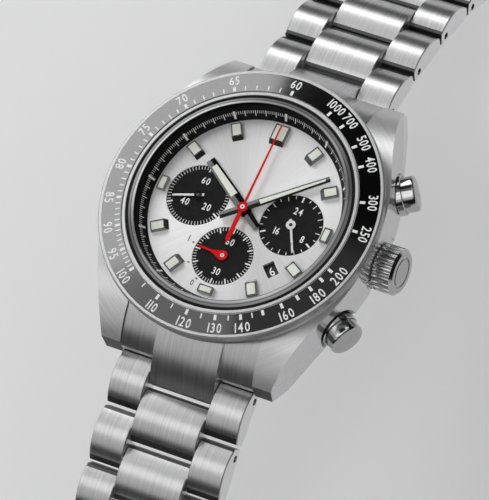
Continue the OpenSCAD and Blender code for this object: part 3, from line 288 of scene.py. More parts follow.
def flat_ground(cx, cy, z, turn=0.0):
    """Flat ground about a point of the dial, turned clockwise by an angle."""
    s, c = around(turn, 1)

    def place(x, y, up):
        return cx + x * c + y * s, cy - x * s + y * c, z + up
    return Ground(place)


def flange_ground(angle):
    """Ground on the sloping flange: y runs up the slope from the dial."""
    run, rise = [high - low for low, high in zip(FLANGE_FOOT, FLANGE_TOP)]
    length = math.hypot(run, rise)

    def place(x, y, up):
        r = FLANGE_FOOT[0] + y * run / length - up * rise / length
        px, py = around(angle + math.degrees(x / r), r)
        return px, py, FLANGE_FOOT[1] + y * rise / length + up * run / length
    return Ground(place)


GLYPHS = {}


def glyph(sign):
    """Outline mesh of a numeral, one unit high and thick, and its width."""
    if sign not in GLYPHS:
        curve = bpy.data.curves.new("numeral", "FONT")
        curve.body = sign
        curve.fill_mode = "BOTH"
        curve.extrude = 0.5
        curve.resolution_u = 3
        curve.offset = 0.012
        obj = bpy.data.objects.new("numeral", curve)
        mesh = obj.to_mesh()
        points = [tuple(v.co) for v in mesh.vertices]
        faces = [list(p.vertices) for p in mesh.polygons]
        obj.to_mesh_clear()
        bpy.data.objects.remove(obj)
        bpy.data.curves.remove(curve)
        (left, right), (low, high) = [
            (min(p[i] for p in points), max(p[i] for p in points)) for i in (0, 1)]
        h = high - low
        points = [((x - left) / h, (y - low) / h - 0.5, z + 0.5) for x, y, z in points]
        GLYPHS[sign] = points, faces, (right - left) / h
    return GLYPHS[sign]


def write(shape, ground, text, height, t, narrow=0.78, gap=0.16):
    """Writes numerals centred on a ground, as closed solids; gap is a share of their height."""
    rise = 0.75 * t
    widths = [glyph(sign)[2] * narrow for sign in text]
    x = -(sum(widths) + gap * (len(text) - 1)) / 2
    for sign, width in zip(text, widths):
        points, faces, _ = glyph(sign)
        shape.add([ground.place((x + px * narrow) * height, py * height, pz * rise)
                   for px, py, pz in points], faces)
        x += width + gap


# Shader nodes

def feed(tree, socket, value):
    """Links a node's output to a socket, or sets the socket to a plain value."""
    if isinstance(value, bpy.types.NodeSocket):
        tree.links.new(value, socket)
    else:
        socket.default_value = value


def node(tree, kind, *operands, **values):
    """New shader node: operands feed its first inputs, values its inputs or settings by name."""
    made = tree.nodes.new(kind)
    for key, value in values.items():
        label = key.replace("_", " ")
        if label in made.inputs:
            feed(tree, made.inputs[label], value)
        else:
            setattr(made, key, value)
    for socket, value in zip(made.inputs, operands):
        feed(tree, socket, value)
    return made


def stretch(tree, value, source=(0.0, 1.0), target=(0.0, 1.0)):
    """Carries a span of values to another, and holds them at its ends."""
    made = node(tree, "ShaderNodeMapRange", Value=value, From_Min=source[0], From_Max=source[1],
                To_Min=target[0], To_Max=target[1])
    return made.outputs["Result"]


def mixed(tree, kind, share, first, second):
    """Mixes two colours or two vectors by a share."""
    made = node(tree, "ShaderNodeMix", share, data_type=kind)
    start, result = {"VECTOR": (4, 1), "RGBA": (6, 2)}[kind]
    feed(tree, made.inputs[start], first)
    feed(tree, made.inputs[start + 1], second)
    return made.outputs[result]


def new_group(name, inputs, outputs):
    """Empty shader node group with its inputs (name, socket type, default) and value outputs."""
    group = bpy.data.node_groups.new(name, "ShaderNodeTree")
    for label, kind, default in inputs:
        socket = group.interface.new_socket(label, in_out="INPUT", socket_type=kind)
        socket.default_value = default
    for label in outputs:
        group.interface.new_socket(label, in_out="OUTPUT", socket_type="NodeSocketFloat")
    return group, group.nodes.new("NodeGroupInput"), group.nodes.new("NodeGroupOutput")


def streaks(group, out, spot, scale=1.0, rough=0.6):
    """Noise at a spot, stretched to the full range, as the group's streak."""
    grain = node(group, "ShaderNodeTexNoise", Vector=spot, Scale=scale, Detail=4.0, Roughness=rough)
    feed(group, out.inputs["Streak"], stretch(group, grain.outputs["Fac"], (0.25, 0.75)))


def straight_grain_group():
    """Satin lines: noise stretched by a scale along each axis."""
    group, given, out = new_group(
        "Straight grain", [("Scale", "NodeSocketVector", (9000, 160, 160))], ["Streak"])
    place = node(group, "ShaderNodeTexCoord").outputs["Object"]
    spot = node(group, "ShaderNodeVectorMath", place, given.outputs["Scale"], operation="MULTIPLY")
    streaks(group, out, spot.outputs[0])
    return group


CELLS_ROUND = 2.2  # noise cells for each radian round a turned piece


def turned_grain_group(name, across):
    """Satin lines that run round an axis: across numbers the two axes square to it."""
    group, given, out = new_group(
        name, [("Centre", "NodeSocketVector", (0, 0, 0)), ("Scale", "NodeSocketFloat", 9000.0)],
        ["Streak", "Radius"])
    place = node(group, "ShaderNodeTexCoord").outputs["Object"]
    shift = node(group, "ShaderNodeVectorMath", place, given.outputs["Centre"],
                 operation="SUBTRACT")
    parts = node(group, "ShaderNodeSeparateXYZ", shift.outputs[0])
    x, y = [parts.outputs[i] for i in across]
    flat = node(group, "ShaderNodeCombineXYZ", x, y)
    length = node(group, "ShaderNodeVectorMath", flat.outputs[0], operation="LENGTH")
    radius = length.outputs["Value"]
    angle = node(group, "ShaderNodeMath", x, y, operation="ARCTAN2")
    fine = node(group, "ShaderNodeMath", radius, given.outputs["Scale"], operation="MULTIPLY")
    slow = node(group, "ShaderNodeMath", angle.outputs[0], CELLS_ROUND, operation="MULTIPLY")
    spot = node(group, "ShaderNodeCombineXYZ", fine.outputs[0], slow.outputs[0])
    streaks(group, out, spot.outputs[0])
    feed(group, out.inputs["Radius"], radius)
    return group


def sunray_group():
    """Satin lines that run out from the middle of the dial."""
    group, given, out = new_group("Sunray", [("Scale", "NodeSocketFloat", 60.0)], ["Streak"])
    place = node(group, "ShaderNodeTexCoord").outputs["Object"]
    flat = node(group, "ShaderNodeVectorMath", place, (1, 1, 0), operation="MULTIPLY")
    way = node(group, "ShaderNodeVectorMath", flat.outputs[0], operation="NORMALIZE")
    streaks(group, out, way.outputs[0], given.outputs["Scale"], 0.65)
    return group


def speckle_group():
    """Fine grain and slow drift of a lacquer, moulding or print."""
    group, given, out = new_group(
        "Speckle", [("Fine", "NodeSocketFloat", 9000.0), ("Slow", "NodeSocketFloat", 300.0)],
        ["Grain", "Drift"])
    place = node(group, "ShaderNodeTexCoord").outputs["Object"]
    for size, label in (("Fine", "Grain"), ("Slow", "Drift")):
        noise = node(group, "ShaderNodeTexNoise", Vector=place, Scale=given.outputs[size],
                     Detail=3.0)
        feed(group, out.inputs[label], noise.outputs["Fac"])
    return group


GROUPS = {}


def shared_groups():
    """Makes each shader node group once."""
    GROUPS["straight"] = straight_grain_group()
    GROUPS["turned"] = turned_grain_group("Turned grain", (0, 1))
    GROUPS["turned_x"] = turned_grain_group("Turned grain about the crown", (1, 2))
    GROUPS["sunray"] = sunray_group()
    GROUPS["speckle"] = speckle_group()


# Materials

MATERIALS = {}


def tint(colour, share):
    """Share of a colour, up to white."""
    return tuple(min(1, c * share) for c in colour)


class Finish:
    """Material with a Principled shader, and the steps that the finishes share."""

    side_facing = 0.8  # how far a side face of the bracelet looks sideways, at least

    def __init__(self, key, name, colour, metallic, roughness, **values):
        self.material = MATERIALS[key] = bpy.data.materials.new(name)
        self.material.use_nodes = True
        self.tree = self.material.node_tree
        self.shader = self.tree.nodes["Principled BSDF"]
        self.colour = colour
        for label, value in {"Metallic": metallic, "Roughness": roughness, **values}.items():
            self.shader.inputs[label.replace("_", " ")].default_value = value

    def drive(self, socket, value):
        """Links a node's output to a socket of the shader."""
        self.tree.links.new(value, self.shader.inputs[socket])

    def group(self, key, **values):
        """Places a shared group with its own values, and gives its outputs."""
        return node(self.tree, "ShaderNodeGroup", node_tree=GROUPS[key], **values).outputs

    def tone(self, share):
        """Share of the finish's colour, for a colour socket."""
        return (*tint(self.colour, share), 1)

    def shade(self, value, dark, light):
        """Base colour between two shares of the finish's colour, by a value."""
        colour = mixed(self.tree, "RGBA", value, self.tone(dark), self.tone(light))
        self.drive("Base Color", colour)
        return colour

    def gloss(self, value, low, high):
        """Roughness between two values."""
        self.drive("Roughness", stretch(self.tree, value, target=(low, high)))

    def vary(self, kind, tones, gloss, by=("Streak", "Streak"), **values):
        """Colour and roughness by a shared group: by names the output for each."""
        marks = self.group(kind, **values)
        self.shade(marks[by[0]], *tones)
        self.gloss(marks[by[1]], *gloss)
        return marks

    def relief(self, value, depth, strength):
        """Bump of a depth in millimetres."""
        bump = node(self.tree, "ShaderNodeBump", Height=value, Strength=strength,
                    Distance=depth * MM)
        self.drive("Normal", bump.outputs["Normal"])

    def facing(self, axis):
        """How far a face looks along an axis of the watch."""
        place = node(self.tree, "ShaderNodeTexCoord")
        return node(self.tree, "ShaderNodeSeparateXYZ", place.outputs["Normal"]).outputs[axis]

    def lie_across(self):
        """Highlights that stretch across the bracelet, or along it on faces that look sideways.

        Returns the mask of those side faces.
        """
        size = node(self.tree, "ShaderNodeMath", self.facing("X"), operation="ABSOLUTE").outputs[0]
        side = node(self.tree, "ShaderNodeMath", size, self.side_facing,
                    operation="GREATER_THAN").outputs[0]
        self.drive("Tangent", mixed(self.tree, "VECTOR", side, (1, 0, 0), (0, 1, 0)))
        return side

    def lie_round(self):
        """Highlights that stretch round the dial's axis, as over lines that run out from it."""
        way = node(self.tree, "ShaderNodeTangent", direction_type="RADIAL", axis="Z")
        self.drive("Tangent", way.outputs[0])


BRIGHT = 0.92, 0.92, 0.92
CROWN_LEVEL = 5.2  # height of the crown's axis, in millimetres
DRIFT_GRAIN, GRAIN_DRIFT = ("Drift", "Grain"), ("Grain", "Drift")


def bracelet_finish(steel):
    """Satin over the links, with plainer side faces in a lighter tone: a painted highlight."""
    links = Finish("links", "Satin bracelet steel", steel, metallic=1.0, roughness=0.36,
                   Anisotropic=0.6)
    streak = links.group("straight", Scale=(5500, 110, 110))["Streak"]
    satin = links.shade(streak, dark=0.82, light=1.2)
    side = links.lie_across()
    # Side faces get a lighter tone of the steel: a painted highlight
    links.drive("Base Color", mixed(links.tree, "RGBA", side, satin, links.tone(1.5)))
    links.gloss(streak, low=0.3, high=0.38)


def case_finish(steel):
    """Satin on the faces that look up, polish on the flanks."""
    case = Finish("case", "Satin and polished case steel", steel, metallic=0.72, roughness=0.3)
    streak = case.group("turned", Scale=5000.0)["Streak"]
    satin = case.shade(streak, dark=0.96, light=1.26)
    brushed = stretch(case.tree, case.facing("Z"), (0.2, 0.3))
    case.drive("Base Color", mixed(case.tree, "RGBA", brushed, case.tone(1.35), satin))
    case.gloss(brushed, low=0.1, high=0.36)


def rim_finish():
    """Painted highlight where the bezel ring looks up, painted shade on its walls."""
    rim = Finish("rim", "Bezel steel with painted highlight and shade", BRIGHT, metallic=0.6, roughness=0.24)
    # Painted shade on the walls, painted highlight where the ring looks up
    rim.shade(stretch(rim.tree, rim.facing("Z"), (0.6, 0.9)), dark=0.36, light=1.0)
    grain = rim.group("speckle", Fine=900.0, Slow=200.0)["Grain"]
    rim.gloss(grain, low=0.2, high=0.28)


def steel_finishes(steel):
    """Plain steels, bright and dark, and a dark steel that paints shade on end faces."""
    ring = Finish("polished_round", "Polished round steel", tint(steel, 1.28),
                  metallic=1.0, roughness=0.12)
    ring.vary("turned", tones=(0.97, 1.03), gloss=(0.11, 0.14), Scale=2200.0)
    silver = Finish("silver", "Bright hand steel", BRIGHT, metallic=0.55, roughness=0.28)
    silver.vary("speckle", tones=(0.96, 1.04), gloss=(0.26, 0.3), by=DRIFT_GRAIN,
                Fine=900.0, Slow=200.0)
    crown = Finish("crown", "Polished crown steel", tint(steel, 0.92),
                   metallic=1.0, roughness=0.14)
    crown.vary("turned_x", tones=(0.95, 1.04), gloss=(0.1, 0.17),
               Scale=3000.0, Centre=(0, 0, CROWN_LEVEL * MM))
    for key, name, share, rough, tones, gloss in (
            ("polished", "Polished steel", 0.88, 0.12, (0.94, 1.05), (0.09, 0.14)),
            ("hand", "Dark polished hand steel", 0.16, 0.16, (0.9, 1.1), (0.136, 0.184)),
            ("marker", "Dark satin marker steel", 0.4, 0.24, (0.9, 1.1), (0.204, 0.276))):
        made = Finish(key, name, tint(steel, share), metallic=1.0, roughness=rough)
        made.vary("speckle", tones, gloss, by=DRIFT_GRAIN, Fine=2500.0, Slow=260.0)
    # Dark steel for end faces: painted shade, as in the gaps between links and on the lug ends
    raw = Finish("raw", "Steel ends with painted shade", tint(steel, 0.16), metallic=1.0, roughness=0.45)
    raw.vary("speckle", tones=(0.8, 1.2), gloss=(0.4, 0.5), by=GRAIN_DRIFT,
             Fine=3000.0, Slow=300.0)


def dial_finishes(colours):
    """Insert, silvered dial and its grooved counters."""
    insert = Finish("insert", "Dark satin insert", tuple(colours.insert),
                    metallic=1.0, roughness=0.1)
    insert.vary("speckle", tones=(0.8, 1.2), gloss=(0.08, 0.12), by=("Grain", "Grain"),
                Fine=6500.0, Slow=200.0)
    dial = Finish("dial", "Silvered dial", tuple(colours.dial), metallic=0.5, roughness=0.4,
                  Anisotropic=0.92)
    dial.vary("sunray", tones=(0.93, 1.06), gloss=(0.36, 0.46), Scale=45.0)
    dial.lie_round()
    for key, (x, y, _) in COUNTERS.items():
        counter = Finish("counter_" + key, "Grooved black counter " + key, tuple(colours.black),
                         metallic=0.0, roughness=0.45, Specular_IOR_Level=0.1)
        counter.vary("turned", tones=(0.7, 1.5), gloss=(0.4, 0.52),
                     Scale=6000.0, Centre=(x * MM, y * MM, 0))


def lacquer(key, name, colour, rough, tones, fine=6000.0, **values):
    """Lacquer, print, rubber or moulding with a faint grain."""
    made = Finish(key, name, tuple(colour), metallic=0.0, roughness=rough, **values)
    marks = made.vary("speckle", tones, gloss=(rough * 0.85, rough * 1.15), by=GRAIN_DRIFT,
                      Fine=fine, Slow=400.0)
    made.relief(marks["Grain"], depth=0.003, strength=0.15)


def lacquers(colours):
    """Lacquers, prints and rubber of the dial, the hands and the gaskets."""
    for key, name, colour, rough, tones, values in (
            ("flange", "Matt black flange", colours.black, 0.5, (0.7, 1.4),
             {"Specular_IOR_Level": 0.15}),
            ("lume", "Luminous filling", colours.lume, 0.6, (0.94, 1.05), {}),
            ("red", "Red lacquer", colours.red, 0.45, (0.94, 1.06), {"Specular_IOR_Level": 0.1}),
            ("ink", "White printing", colours.ink, 0.55, (0.95, 1.05), {}),
            ("dark_ink", "Black printing", (0.02, 0.02, 0.02), 0.5, (0.8, 1.3), {}),
            ("rubber", "Black gasket rubber", (0.006, 0.006, 0.006), 0.6, (0.8, 1.3),
             {"Specular_IOR_Level": 0.1}),
            ("disc", "Black date disc", (0.01, 0.01, 0.01), 0.55, (0.8, 1.3), {})):
        lacquer(key, name, colour, rough, tones, **values)


def inner_finishes():
    """Pieces inside the case."""
    for key, name, colour, rough, tones, fine in (
            ("solar", "Solar cell", (0.05, 0.03, 0.06), 0.25, (0.7, 1.4), 2500.0),
            ("holder", "Grey moulded holder", (0.16, 0.16, 0.165), 0.55, (0.9, 1.1), 4000.0),
            ("board", "Green circuit board", (0.02, 0.13, 0.06), 0.45, (0.8, 1.2), 3000.0)):
        lacquer(key, name, colour, rough, tones, fine)
    plate = Finish("plate", "Gilt plate", (0.66, 0.55, 0.33), metallic=1.0, roughness=0.32)
    plate.vary("turned", tones=(0.88, 1.08), gloss=(0.26, 0.4), Scale=6000.0)
    coil = Finish("copper", "Copper winding", (0.62, 0.3, 0.14), metallic=1.0, roughness=0.35)
    wire = coil.vary("straight", tones=(0.7, 1.15), gloss=(0.28, 0.45), Scale=(14000, 14000, 200))
    coil.relief(wire["Streak"], depth=0.02, strength=0.5)


CRYSTAL_EDGE_R = CRYSTAL_R - 0.92, CRYSTAL_R - 0.02
# Painted reflections and shade of the crystal's bevel: place across the edge and grey tone of each
# line
EDGE_PAINTED_LINES = (0.0, 0.1), (0.2, 0.42), (0.4, 0.34), (0.55, 0.05), (0.7, 0.2), (1.0, 0.16)


def edge_finish():
    """Edge of the crystal, with light and dark lines round it: painted reflections of its bevel."""
    edge = Finish("edge", "Crystal edge with painted reflections", (0.3, 0.3, 0.305), metallic=0.7, roughness=0.3)
    grain = edge.group("turned", Scale=2000.0)
    edge.gloss(grain["Streak"], low=0.25, high=0.35)
    across = stretch(edge.tree, grain["Radius"], [r * MM for r in CRYSTAL_EDGE_R])
    lines = node(edge.tree, "ShaderNodeValToRGB", across)
    stops = lines.color_ramp.elements
    for i, (place, tone) in enumerate(EDGE_PAINTED_LINES):
        stop = stops[i] if i < 2 else stops.new(place)
        stop.position, stop.color = place, (tone, tone, tone, 1)
    edge.drive("Base Color", lines.outputs[0])


def crystal_finish():
    """Clear crystal: a faint mirror on its outer side, by Fresnel, with no bending."""
    clear = Finish("crystal", "Clear crystal", (1, 1, 1), metallic=1.0, roughness=0.02)
    tree = clear.tree
    drift = clear.group("speckle", Fine=3000.0, Slow=120.0)["Drift"]
    clear.shade(drift, dark=0.96, light=1.0)
    through = node(tree, "ShaderNodeBsdfTransparent")
    sheen = node(tree, "ShaderNodeFresnel", IOR=1.12)
    side = node(tree, "ShaderNodeNewGeometry")
    outside = node(tree, "ShaderNodeMath", sheen.outputs[0], side.outputs["Backfacing"],
                   operation="SUBTRACT", use_clamp=True)
    mix = node(tree, "ShaderNodeMixShader")
    tree.links.new(outside.outputs[0], mix.inputs[0])
    tree.links.new(through.outputs[0], mix.inputs[1])
    tree.links.new(clear.shader.outputs[0], mix.inputs[2])
    tree.links.new(mix.outputs[0], tree.nodes["Material Output"].inputs["Surface"])


def dress(material, *names):
    """Gives CAD nodes their finish."""
    for name in names:
        slots = NODES[name].data.materials
        slots.clear()
        slots.append(MATERIALS[material])


def leave_raw(name, is_end):
    """Paints shade on the end faces of a CAD node with the dark steel, in a second slot."""
    mesh = NODES[name].data
    mesh.materials.append(MATERIALS["raw"])
    for face in mesh.polygons:
        if is_end(face):
            face.material_index = 1


# Operators

class WATCH_OT_finishes(Operator):
    """Makes the shared grain groups and every material"""

    bl_idname = "watch.finishes"
    bl_label = "Finishes"

    def execute(self, context):
        shared_groups()
        colours = context.scene.watch_finishes
        steel = tuple(colours.steel)
        bracelet_finish(steel)
        case_finish(steel)
        rim_finish()
        steel_finishes(steel)
        dial_finishes(colours)
        lacquers(colours)
        inner_finishes()
        edge_finish()
        crystal_finish()
        return {"FINISHED"}


class WATCH_OT_case(Operator):
    """Finishes the case and the pieces fixed to it, paints shade on the lug ends, and paints
    reflections on the crystal's edge
    """

    bl_idname = "watch.case"
    bl_label = "Case"

    lug_end_facing, lug_end_y = 0.8, 20  # how far a lug's end looks along the strand, and its place

    def execute(self, context):
        dress("case", "case_body")
        # Lug end faces get the dark steel: painted shade
        leave_raw("case_body", self.is_lug_end)
        dress("polished_round", "case_back")
        dress("rim", "bezel_ring")
        dress("polished", "crown_tube", "pusher_tubes", "spring_bars",
              "pusher_spring_2", "pusher_spring_4")
        dress("rubber", "case_back_gasket", "crystal_gasket", "crown_gasket")
        dress("crystal", "crystal")
        self.crystal_edge()
        return {"FINISHED"}

    def is_lug_end(self, face):
        """Whether a face of the case looks along the strand, out near the tips of the lugs."""
        return (abs(face.normal.y) > self.lug_end_facing
                and abs(face.center.y) > self.lug_end_y * MM)

    def crystal_edge(self):
        """Thin cone just under the bevel of the crystal, with the bevel's reflections painted on
        it.
        """
        edge = Shape()
        (r0, r1), high, fall, t = CRYSTAL_EDGE_R, CRYSTAL_TOP - 0.007, 0.379, 0.012
        low = high - fall
        edge.lathe([(r0, high), (r0, high - t), (r1, low - t), (r1, low)], 180)
        edge.piece("crystal_edge", "edge", "case", SHARP)


class WATCH_OT_bezel(Operator):
    """Finishes the bezel insert and prints its scale of units per hour"""

    bl_idname = "watch.bezel"
    bl_label = "Bezel scale"

    outward = (60, 65, 70, 75, 80, 250, 300, 400, 500, 700, 1000)
    inward = (85, 90, 95, 100, 110, 120, 130, 140, 160, 180, 200)
    unnumbered = (150, 170, 190)
    fine = (*[v for v in range(61, 100) if v % 5], 105, 115, 125, 135, 145)
    bar_r = 17.65
    bold_bar, fine_bar = (0.2, 0.38), (0.09, 0.36)  # half width and half length
    digit_r = {False: 19.08, True: 19.12}  # by whether the numeral's top points inwards
    digit_gap = {False: 0.13, True: 0.2}
    lead = 0.55  # degrees that an inward numeral of three digits stands before its bar

    def execute(self, context):
        sizes = context.scene.watch_scales
        t, h = sizes.ink_t / MM, sizes.bezel_digit_h / MM
        dress("insert", "bezel_insert")
        scale = Shape()
        numbered = self.outward + self.inward
        for values, (half_w, half_l) in (
                (numbered + self.unnumbered, self.bold_bar), (self.fine, self.fine_bar)):
            for value in values:
                ground = insert_ground(self.angle(value), self.bar_r, False)
                ground.bar(scale, -half_w, half_w, -half_l, half_l, t)
        for value in numbered:
            flip = value in self.inward
            angle = self.angle(value) - (self.lead if flip and value > 99 else 0)
            ground = insert_ground(angle, self.digit_r[flip], flip)
            write(scale, ground, str(value), h, t, gap=self.digit_gap[flip])
        scale.piece("bezel_scale", "ink", "case")
        return {"FINISHED"}

    def angle(self, value):
        """Place of the second hand when one unit takes 3600 / value seconds."""
        return 6 * 3600 / value


class WATCH_OT_flange(Operator):
    """Finishes the flange ring and prints its fifth-of-a-second track"""

    bl_idname = "watch.flange"
    bl_label = "Flange track"

    fifths = 300
    marks = (  # step, half width, and start and end up the slope
        (25, 0.17, 0.44, 1.66), (5, 0.06, 0.65, 1.53), (1, 0.035, 1.05, 1.53))

    def execute(self, context):
        t = context.scene.watch_scales.ink_t / MM
        dress("flange", "flange_ring")
        track = Shape()
        for i in range(self.fifths):
            w, start, end = by_step(i, self.marks)
            flange_ground(i * 360 / self.fifths).bar(track, -w, w, start, end, t)
        track.piece("second_track", "ink", "case")
        return {"FINISHED"}


class WATCH_OT_dial(Operator):
    """Finishes the dial and its markers, and prints its three counters"""

    bl_idname = "watch.dial"
    bl_label = "Dial"

    floor_t, floor_hole, floor_gap = 0.03, 0.32, 0.03
    ticks = {  # number, outer radius, and step, inner radius and width of each kind
        "running_second": (60, 4.55, ((20, 3.75, 0.24), (1, 4.0, 0.08))),
        "chrono_minute": (60, 4.35, ((5, 3.55, 0.2), (1, 3.85, 0.08))),
        "day": (24, 4.5, ((8, 3.7, 0.24), (2, 3.8, 0.1), (1, 4.1, 0.1))),
    }
    numerals = {  # text and place from the counter's middle
        "running_second": (("60", 0.1, 2.38), ("20", 1.9, -1.25), ("40", -1.5, -1.38)),
        "day": (("24", 0.1, 2.27), ("8", 2.4, -1.45), ("16", -1.65, -1.4)),
        "chrono_minute": (("60", 0.1, 2.3), ("30", 0.1, -2.4)),
    }
    reserve_dashes, half_dash = ((-4.9, -6.8), (-4.3, -9.8), (-2.1, -11.7)), (0.16, 0.1)
    reserve_ends = ("1", -5.75, -6.4, 0.95), ("0", -2.45, -12.45, 0.9)  # text, place and height

    def execute(self, context):
        sizes = context.scene.watch_scales
        t = sizes.ink_t / MM
        dress("dial", "dial")
        self.counters(t, sizes.counter_digit_h / MM)
        self.reserve(t)
        dress("marker", "hour_markers")
        dress("lume", "marker_lume")
        return {"FINISHED"}

    def counters(self, t, h):
        """Black floors of the counters, with their ticks and numerals."""
        level = COUNTER_FLOOR + self.floor_t
        white = Shape()
        for key, (x, y, r) in COUNTERS.items():
            floor = Shape()
            floor.ring(self.floor_hole, r - self.floor_gap, COUNTER_FLOOR, level, (x, y), 96)
            floor.piece("counter_" + key, "counter_" + key, "case", SHARP)
            number, outer, kinds = self.ticks[key]
            for i in range(number):
                inner, w = by_step(i, kinds)
                ground = flat_ground(x, y, level, i * 360 / number)
                ground.bar(white, -w / 2, w / 2, inner, outer, t)
            for text, dx, dy in self.numerals[key]:
                write(white, flat_ground(x + dx, y + dy, level), text, h, t)
        white.piece("counter_printing", "ink", "case")

    def reserve(self, t):
        """Scale of the power reserve."""
        dark = Shape()
        half_w, half_h = self.half_dash
        for x, y in self.reserve_dashes:
            flat_ground(x, y, DIAL_TOP).bar(dark, -half_w, half_w, -half_h, half_h, t)
        for text, x, y, h in self.reserve_ends:
            write(dark, flat_ground(x, y, DIAL_TOP), text, h, t)
        dark.piece("reserve_printing", "dark_ink", "case")


class WATCH_OT_hands(Operator):
    """Finishes the hands, their hubs and the luminous filling of the hour and minute hands"""

    bl_idname = "watch.hands"
    bl_label = "Hands"

    fillings = (  # hand, its angle, level above the dial, half widths, gaps to the axis and the tip
        ("hour_hand", 304.3, 0.51, (0.52, 0.395), (2.7, 1.15)),
        ("minute_hand", 51.6, 0.93, (0.33, 0.13), (2.5, 0.6)))
    ridge_sink, base_sink, side_fall = 0.005, 0.12, 0.12  # of a filling
    caps = (  # hand, middle, and finish, inner and outer radius of each ring
        ("chrono_second_hand", (0, 0), (("silver", 0.14, 0.34), ("dark_ink", 0.0, 0.14))),
        ("chrono_minute_hand", COUNTERS["chrono_minute"][:2],
         (("silver", 0.12, 0.3), ("dark_ink", 0.0, 0.12))),
        ("day_hand", COUNTERS["day"][:2], (("dark_ink", 0.0, 0.26),)),
        ("running_second_hand", COUNTERS["running_second"][:2],
         (("rubber", 0.22, 0.56), ("marker", 0.1, 0.22), ("dark_ink", 0.0, 0.1))))
    cap_sink, cap_rise = 0.03, 0.012

    def execute(self, context):
        dress("hand", "hour_hand", "minute_hand")
        dress("silver", "running_second_hand", "day_hand")
        dress("red", "chrono_second_hand", "chrono_minute_hand")
        for body, angle, level, (wide, slim), (axis_gap, tip_gap) in self.fillings:
            fill = Shape()
            ground = flat_ground(0, 0, DIAL_TOP + level, angle)
            ends = (wide, axis_gap), (slim, reach(body, angle) - tip_gap)
            fill.prism(*[[ground.place(x, y, up) for x, up in self.section(w)] for w, y in ends])
            fill.piece(body + "_lume", "lume", body)
        for body, middle, rings in self.caps:
            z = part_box(body)[1].z / MM
            for i, (material, r0, r1) in enumerate(rings):
                cap = Shape()
                cap.ring(r0, r1, z - self.cap_sink, z + self.cap_rise, middle)
                cap.piece("%s_cap_%d" % (body, i), material, body, SHARP)
        return {"FINISHED"}

    def section(self, w):
        """Outline of a filling across its hand, with a low ridge."""
        ridge, base = -self.ridge_sink, -self.base_sink
        side = ridge - self.side_fall * w
        return (0, ridge), (-w, side), (-w, base), (w, base), (w, side)


class WATCH_OT_date(Operator):
    """Finishes the date disc and prints its numerals"""

    bl_idname = "watch.date"
    bl_label = "Date disc"

    days, shown, window = 31, 6, 133.5  # window: angle of the date window on the dial
    digit_r, digit_h, digit_gap = 10.3, 1.35, 0.08
    narrow = {1: 0.85, 2: 0.55}  # narrowing by the number of digits

    def execute(self, context):
        dress("disc", "date_disc")
        t = context.scene.watch_scales.ink_t / MM
        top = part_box("date_disc")[1].z / MM
        numerals = Shape()
        for day in range(1, self.days + 1):
            angle = self.window - (day - self.shown) * 360 / self.days
            ground = flat_ground(*around(angle, self.digit_r), top, angle - 180)
            text = str(day)
            write(numerals, ground, text, self.digit_h, t, self.narrow[len(text)], self.digit_gap)
        numerals.piece("date_numerals", "ink", "date_disc")
        return {"FINISHED"}


class WATCH_OT_crown(Operator):
    """Finishes the crown, its stem and lever, and the pushers, and makes their springs"""

    bl_idname = "watch.crown"
    bl_label = "Crown and pushers"

    def execute(self, context):
        dress("crown", "crown")
        dress("polished", "crown_stem", "setting_lever", "pusher_2", "pusher_4")
        for joint in frame["joints"]:
            for soft in joint.get("deforming_nodes", ()):
                self.spring(joint, soft)
        return {"FINISHED"}

    def spring(self, joint, soft):
        """Copy of a pusher's return spring, on the joint's parent body, in place of the hidden CAD
        node.
        """
        name, axis = soft["node"], Vector(soft["axis"])
        mesh = NODES[name].data.copy()
        coil = link_object(name + "_coil", mesh)
        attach(coil, joint["parent"])
        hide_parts(name)
        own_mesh(coil)


class WATCH_OT_movement(Operator):
    """Finishes the pieces inside the case"""

    bl_idname = "watch.movement"
    bl_label = "Movement"

    def execute(self, context):
        dress("solar", "solar_cell")
        dress("holder", "movement_holder")
        dress("plate", "main_plate")
        dress("board", "circuit_board")
        dress("copper", "motor_coils")
        dress("polished_round", "power_cell")
        return {"FINISHED"}


class WATCH_OT_bracelet(Operator):
    """Finishes the bracelet's links and the clasp, and paints shade on the links' end faces"""

    bl_idname = "watch.bracelet"
    bl_label = "Bracelet and clasp"

    end_facing = 0.55  # how far an end face of a link looks along its strand, at least

    def execute(self, context):
        links = [n for n in NODES if n.startswith("link_")]
        dress("links", "end_link_12", "end_link_6", *links)
        for name in links:
            along = self.run(name)
            # End faces of each link get the dark steel: painted shade in the gaps
            leave_raw(name, lambda face: abs(face.normal.dot(along)) > self.end_facing)
        dress("links", "clasp_cover", "clasp_outer_leaf", "clasp_inner_leaf")
        dress("polished", "clasp_cover_pin", "clasp_leaf_pin",
              "clasp_button_left", "clasp_button_right")
        return {"FINISHED"}

    def run(self, name):
        """Direction of a link along its strand: that of its longest spread, square to the pins."""
        points = [v.co for v in NODES[name].data.vertices]
        y, z = [sum(p[i] for p in points) / len(points) for i in (1, 2)]
        yy = sum((p.y - y) ** 2 for p in points)
        zz = sum((p.z - z) ** 2 for p in points)
        yz = sum((p.y - y) * (p.z - z) for p in points)
        angle = math.atan2(2 * yz, yy - zz) / 2
        return Vector((0, math.cos(angle), math.sin(angle)))


def soft_box(name, place, target, size, power):
    """Rectangular lamp that faces a point: size is its width and height."""
    data = bpy.data.lights.new(name, "AREA")
    data.shape = "RECTANGLE"
    data.size, data.size_y = size
    data.energy = power
    obj = link_object(name, data)
    obj.location = place
    obj.rotation_euler = (Vector(target) - Vector(place)).to_track_quat("-Z", "Y").to_euler()


def panel(name, x, width, span, far, power):
    """Soft box that faces the watch over a span of angles from upright, in degrees towards 12."""
    low, high = [math.radians(a) for a in span]
    middle = (low + high) / 2
    place = (x, far * math.sin(middle), far * math.cos(middle))
    soft_box(name, place, (x, 0, 0), (width, 2 * far * math.tan((high - low) / 2)), power)


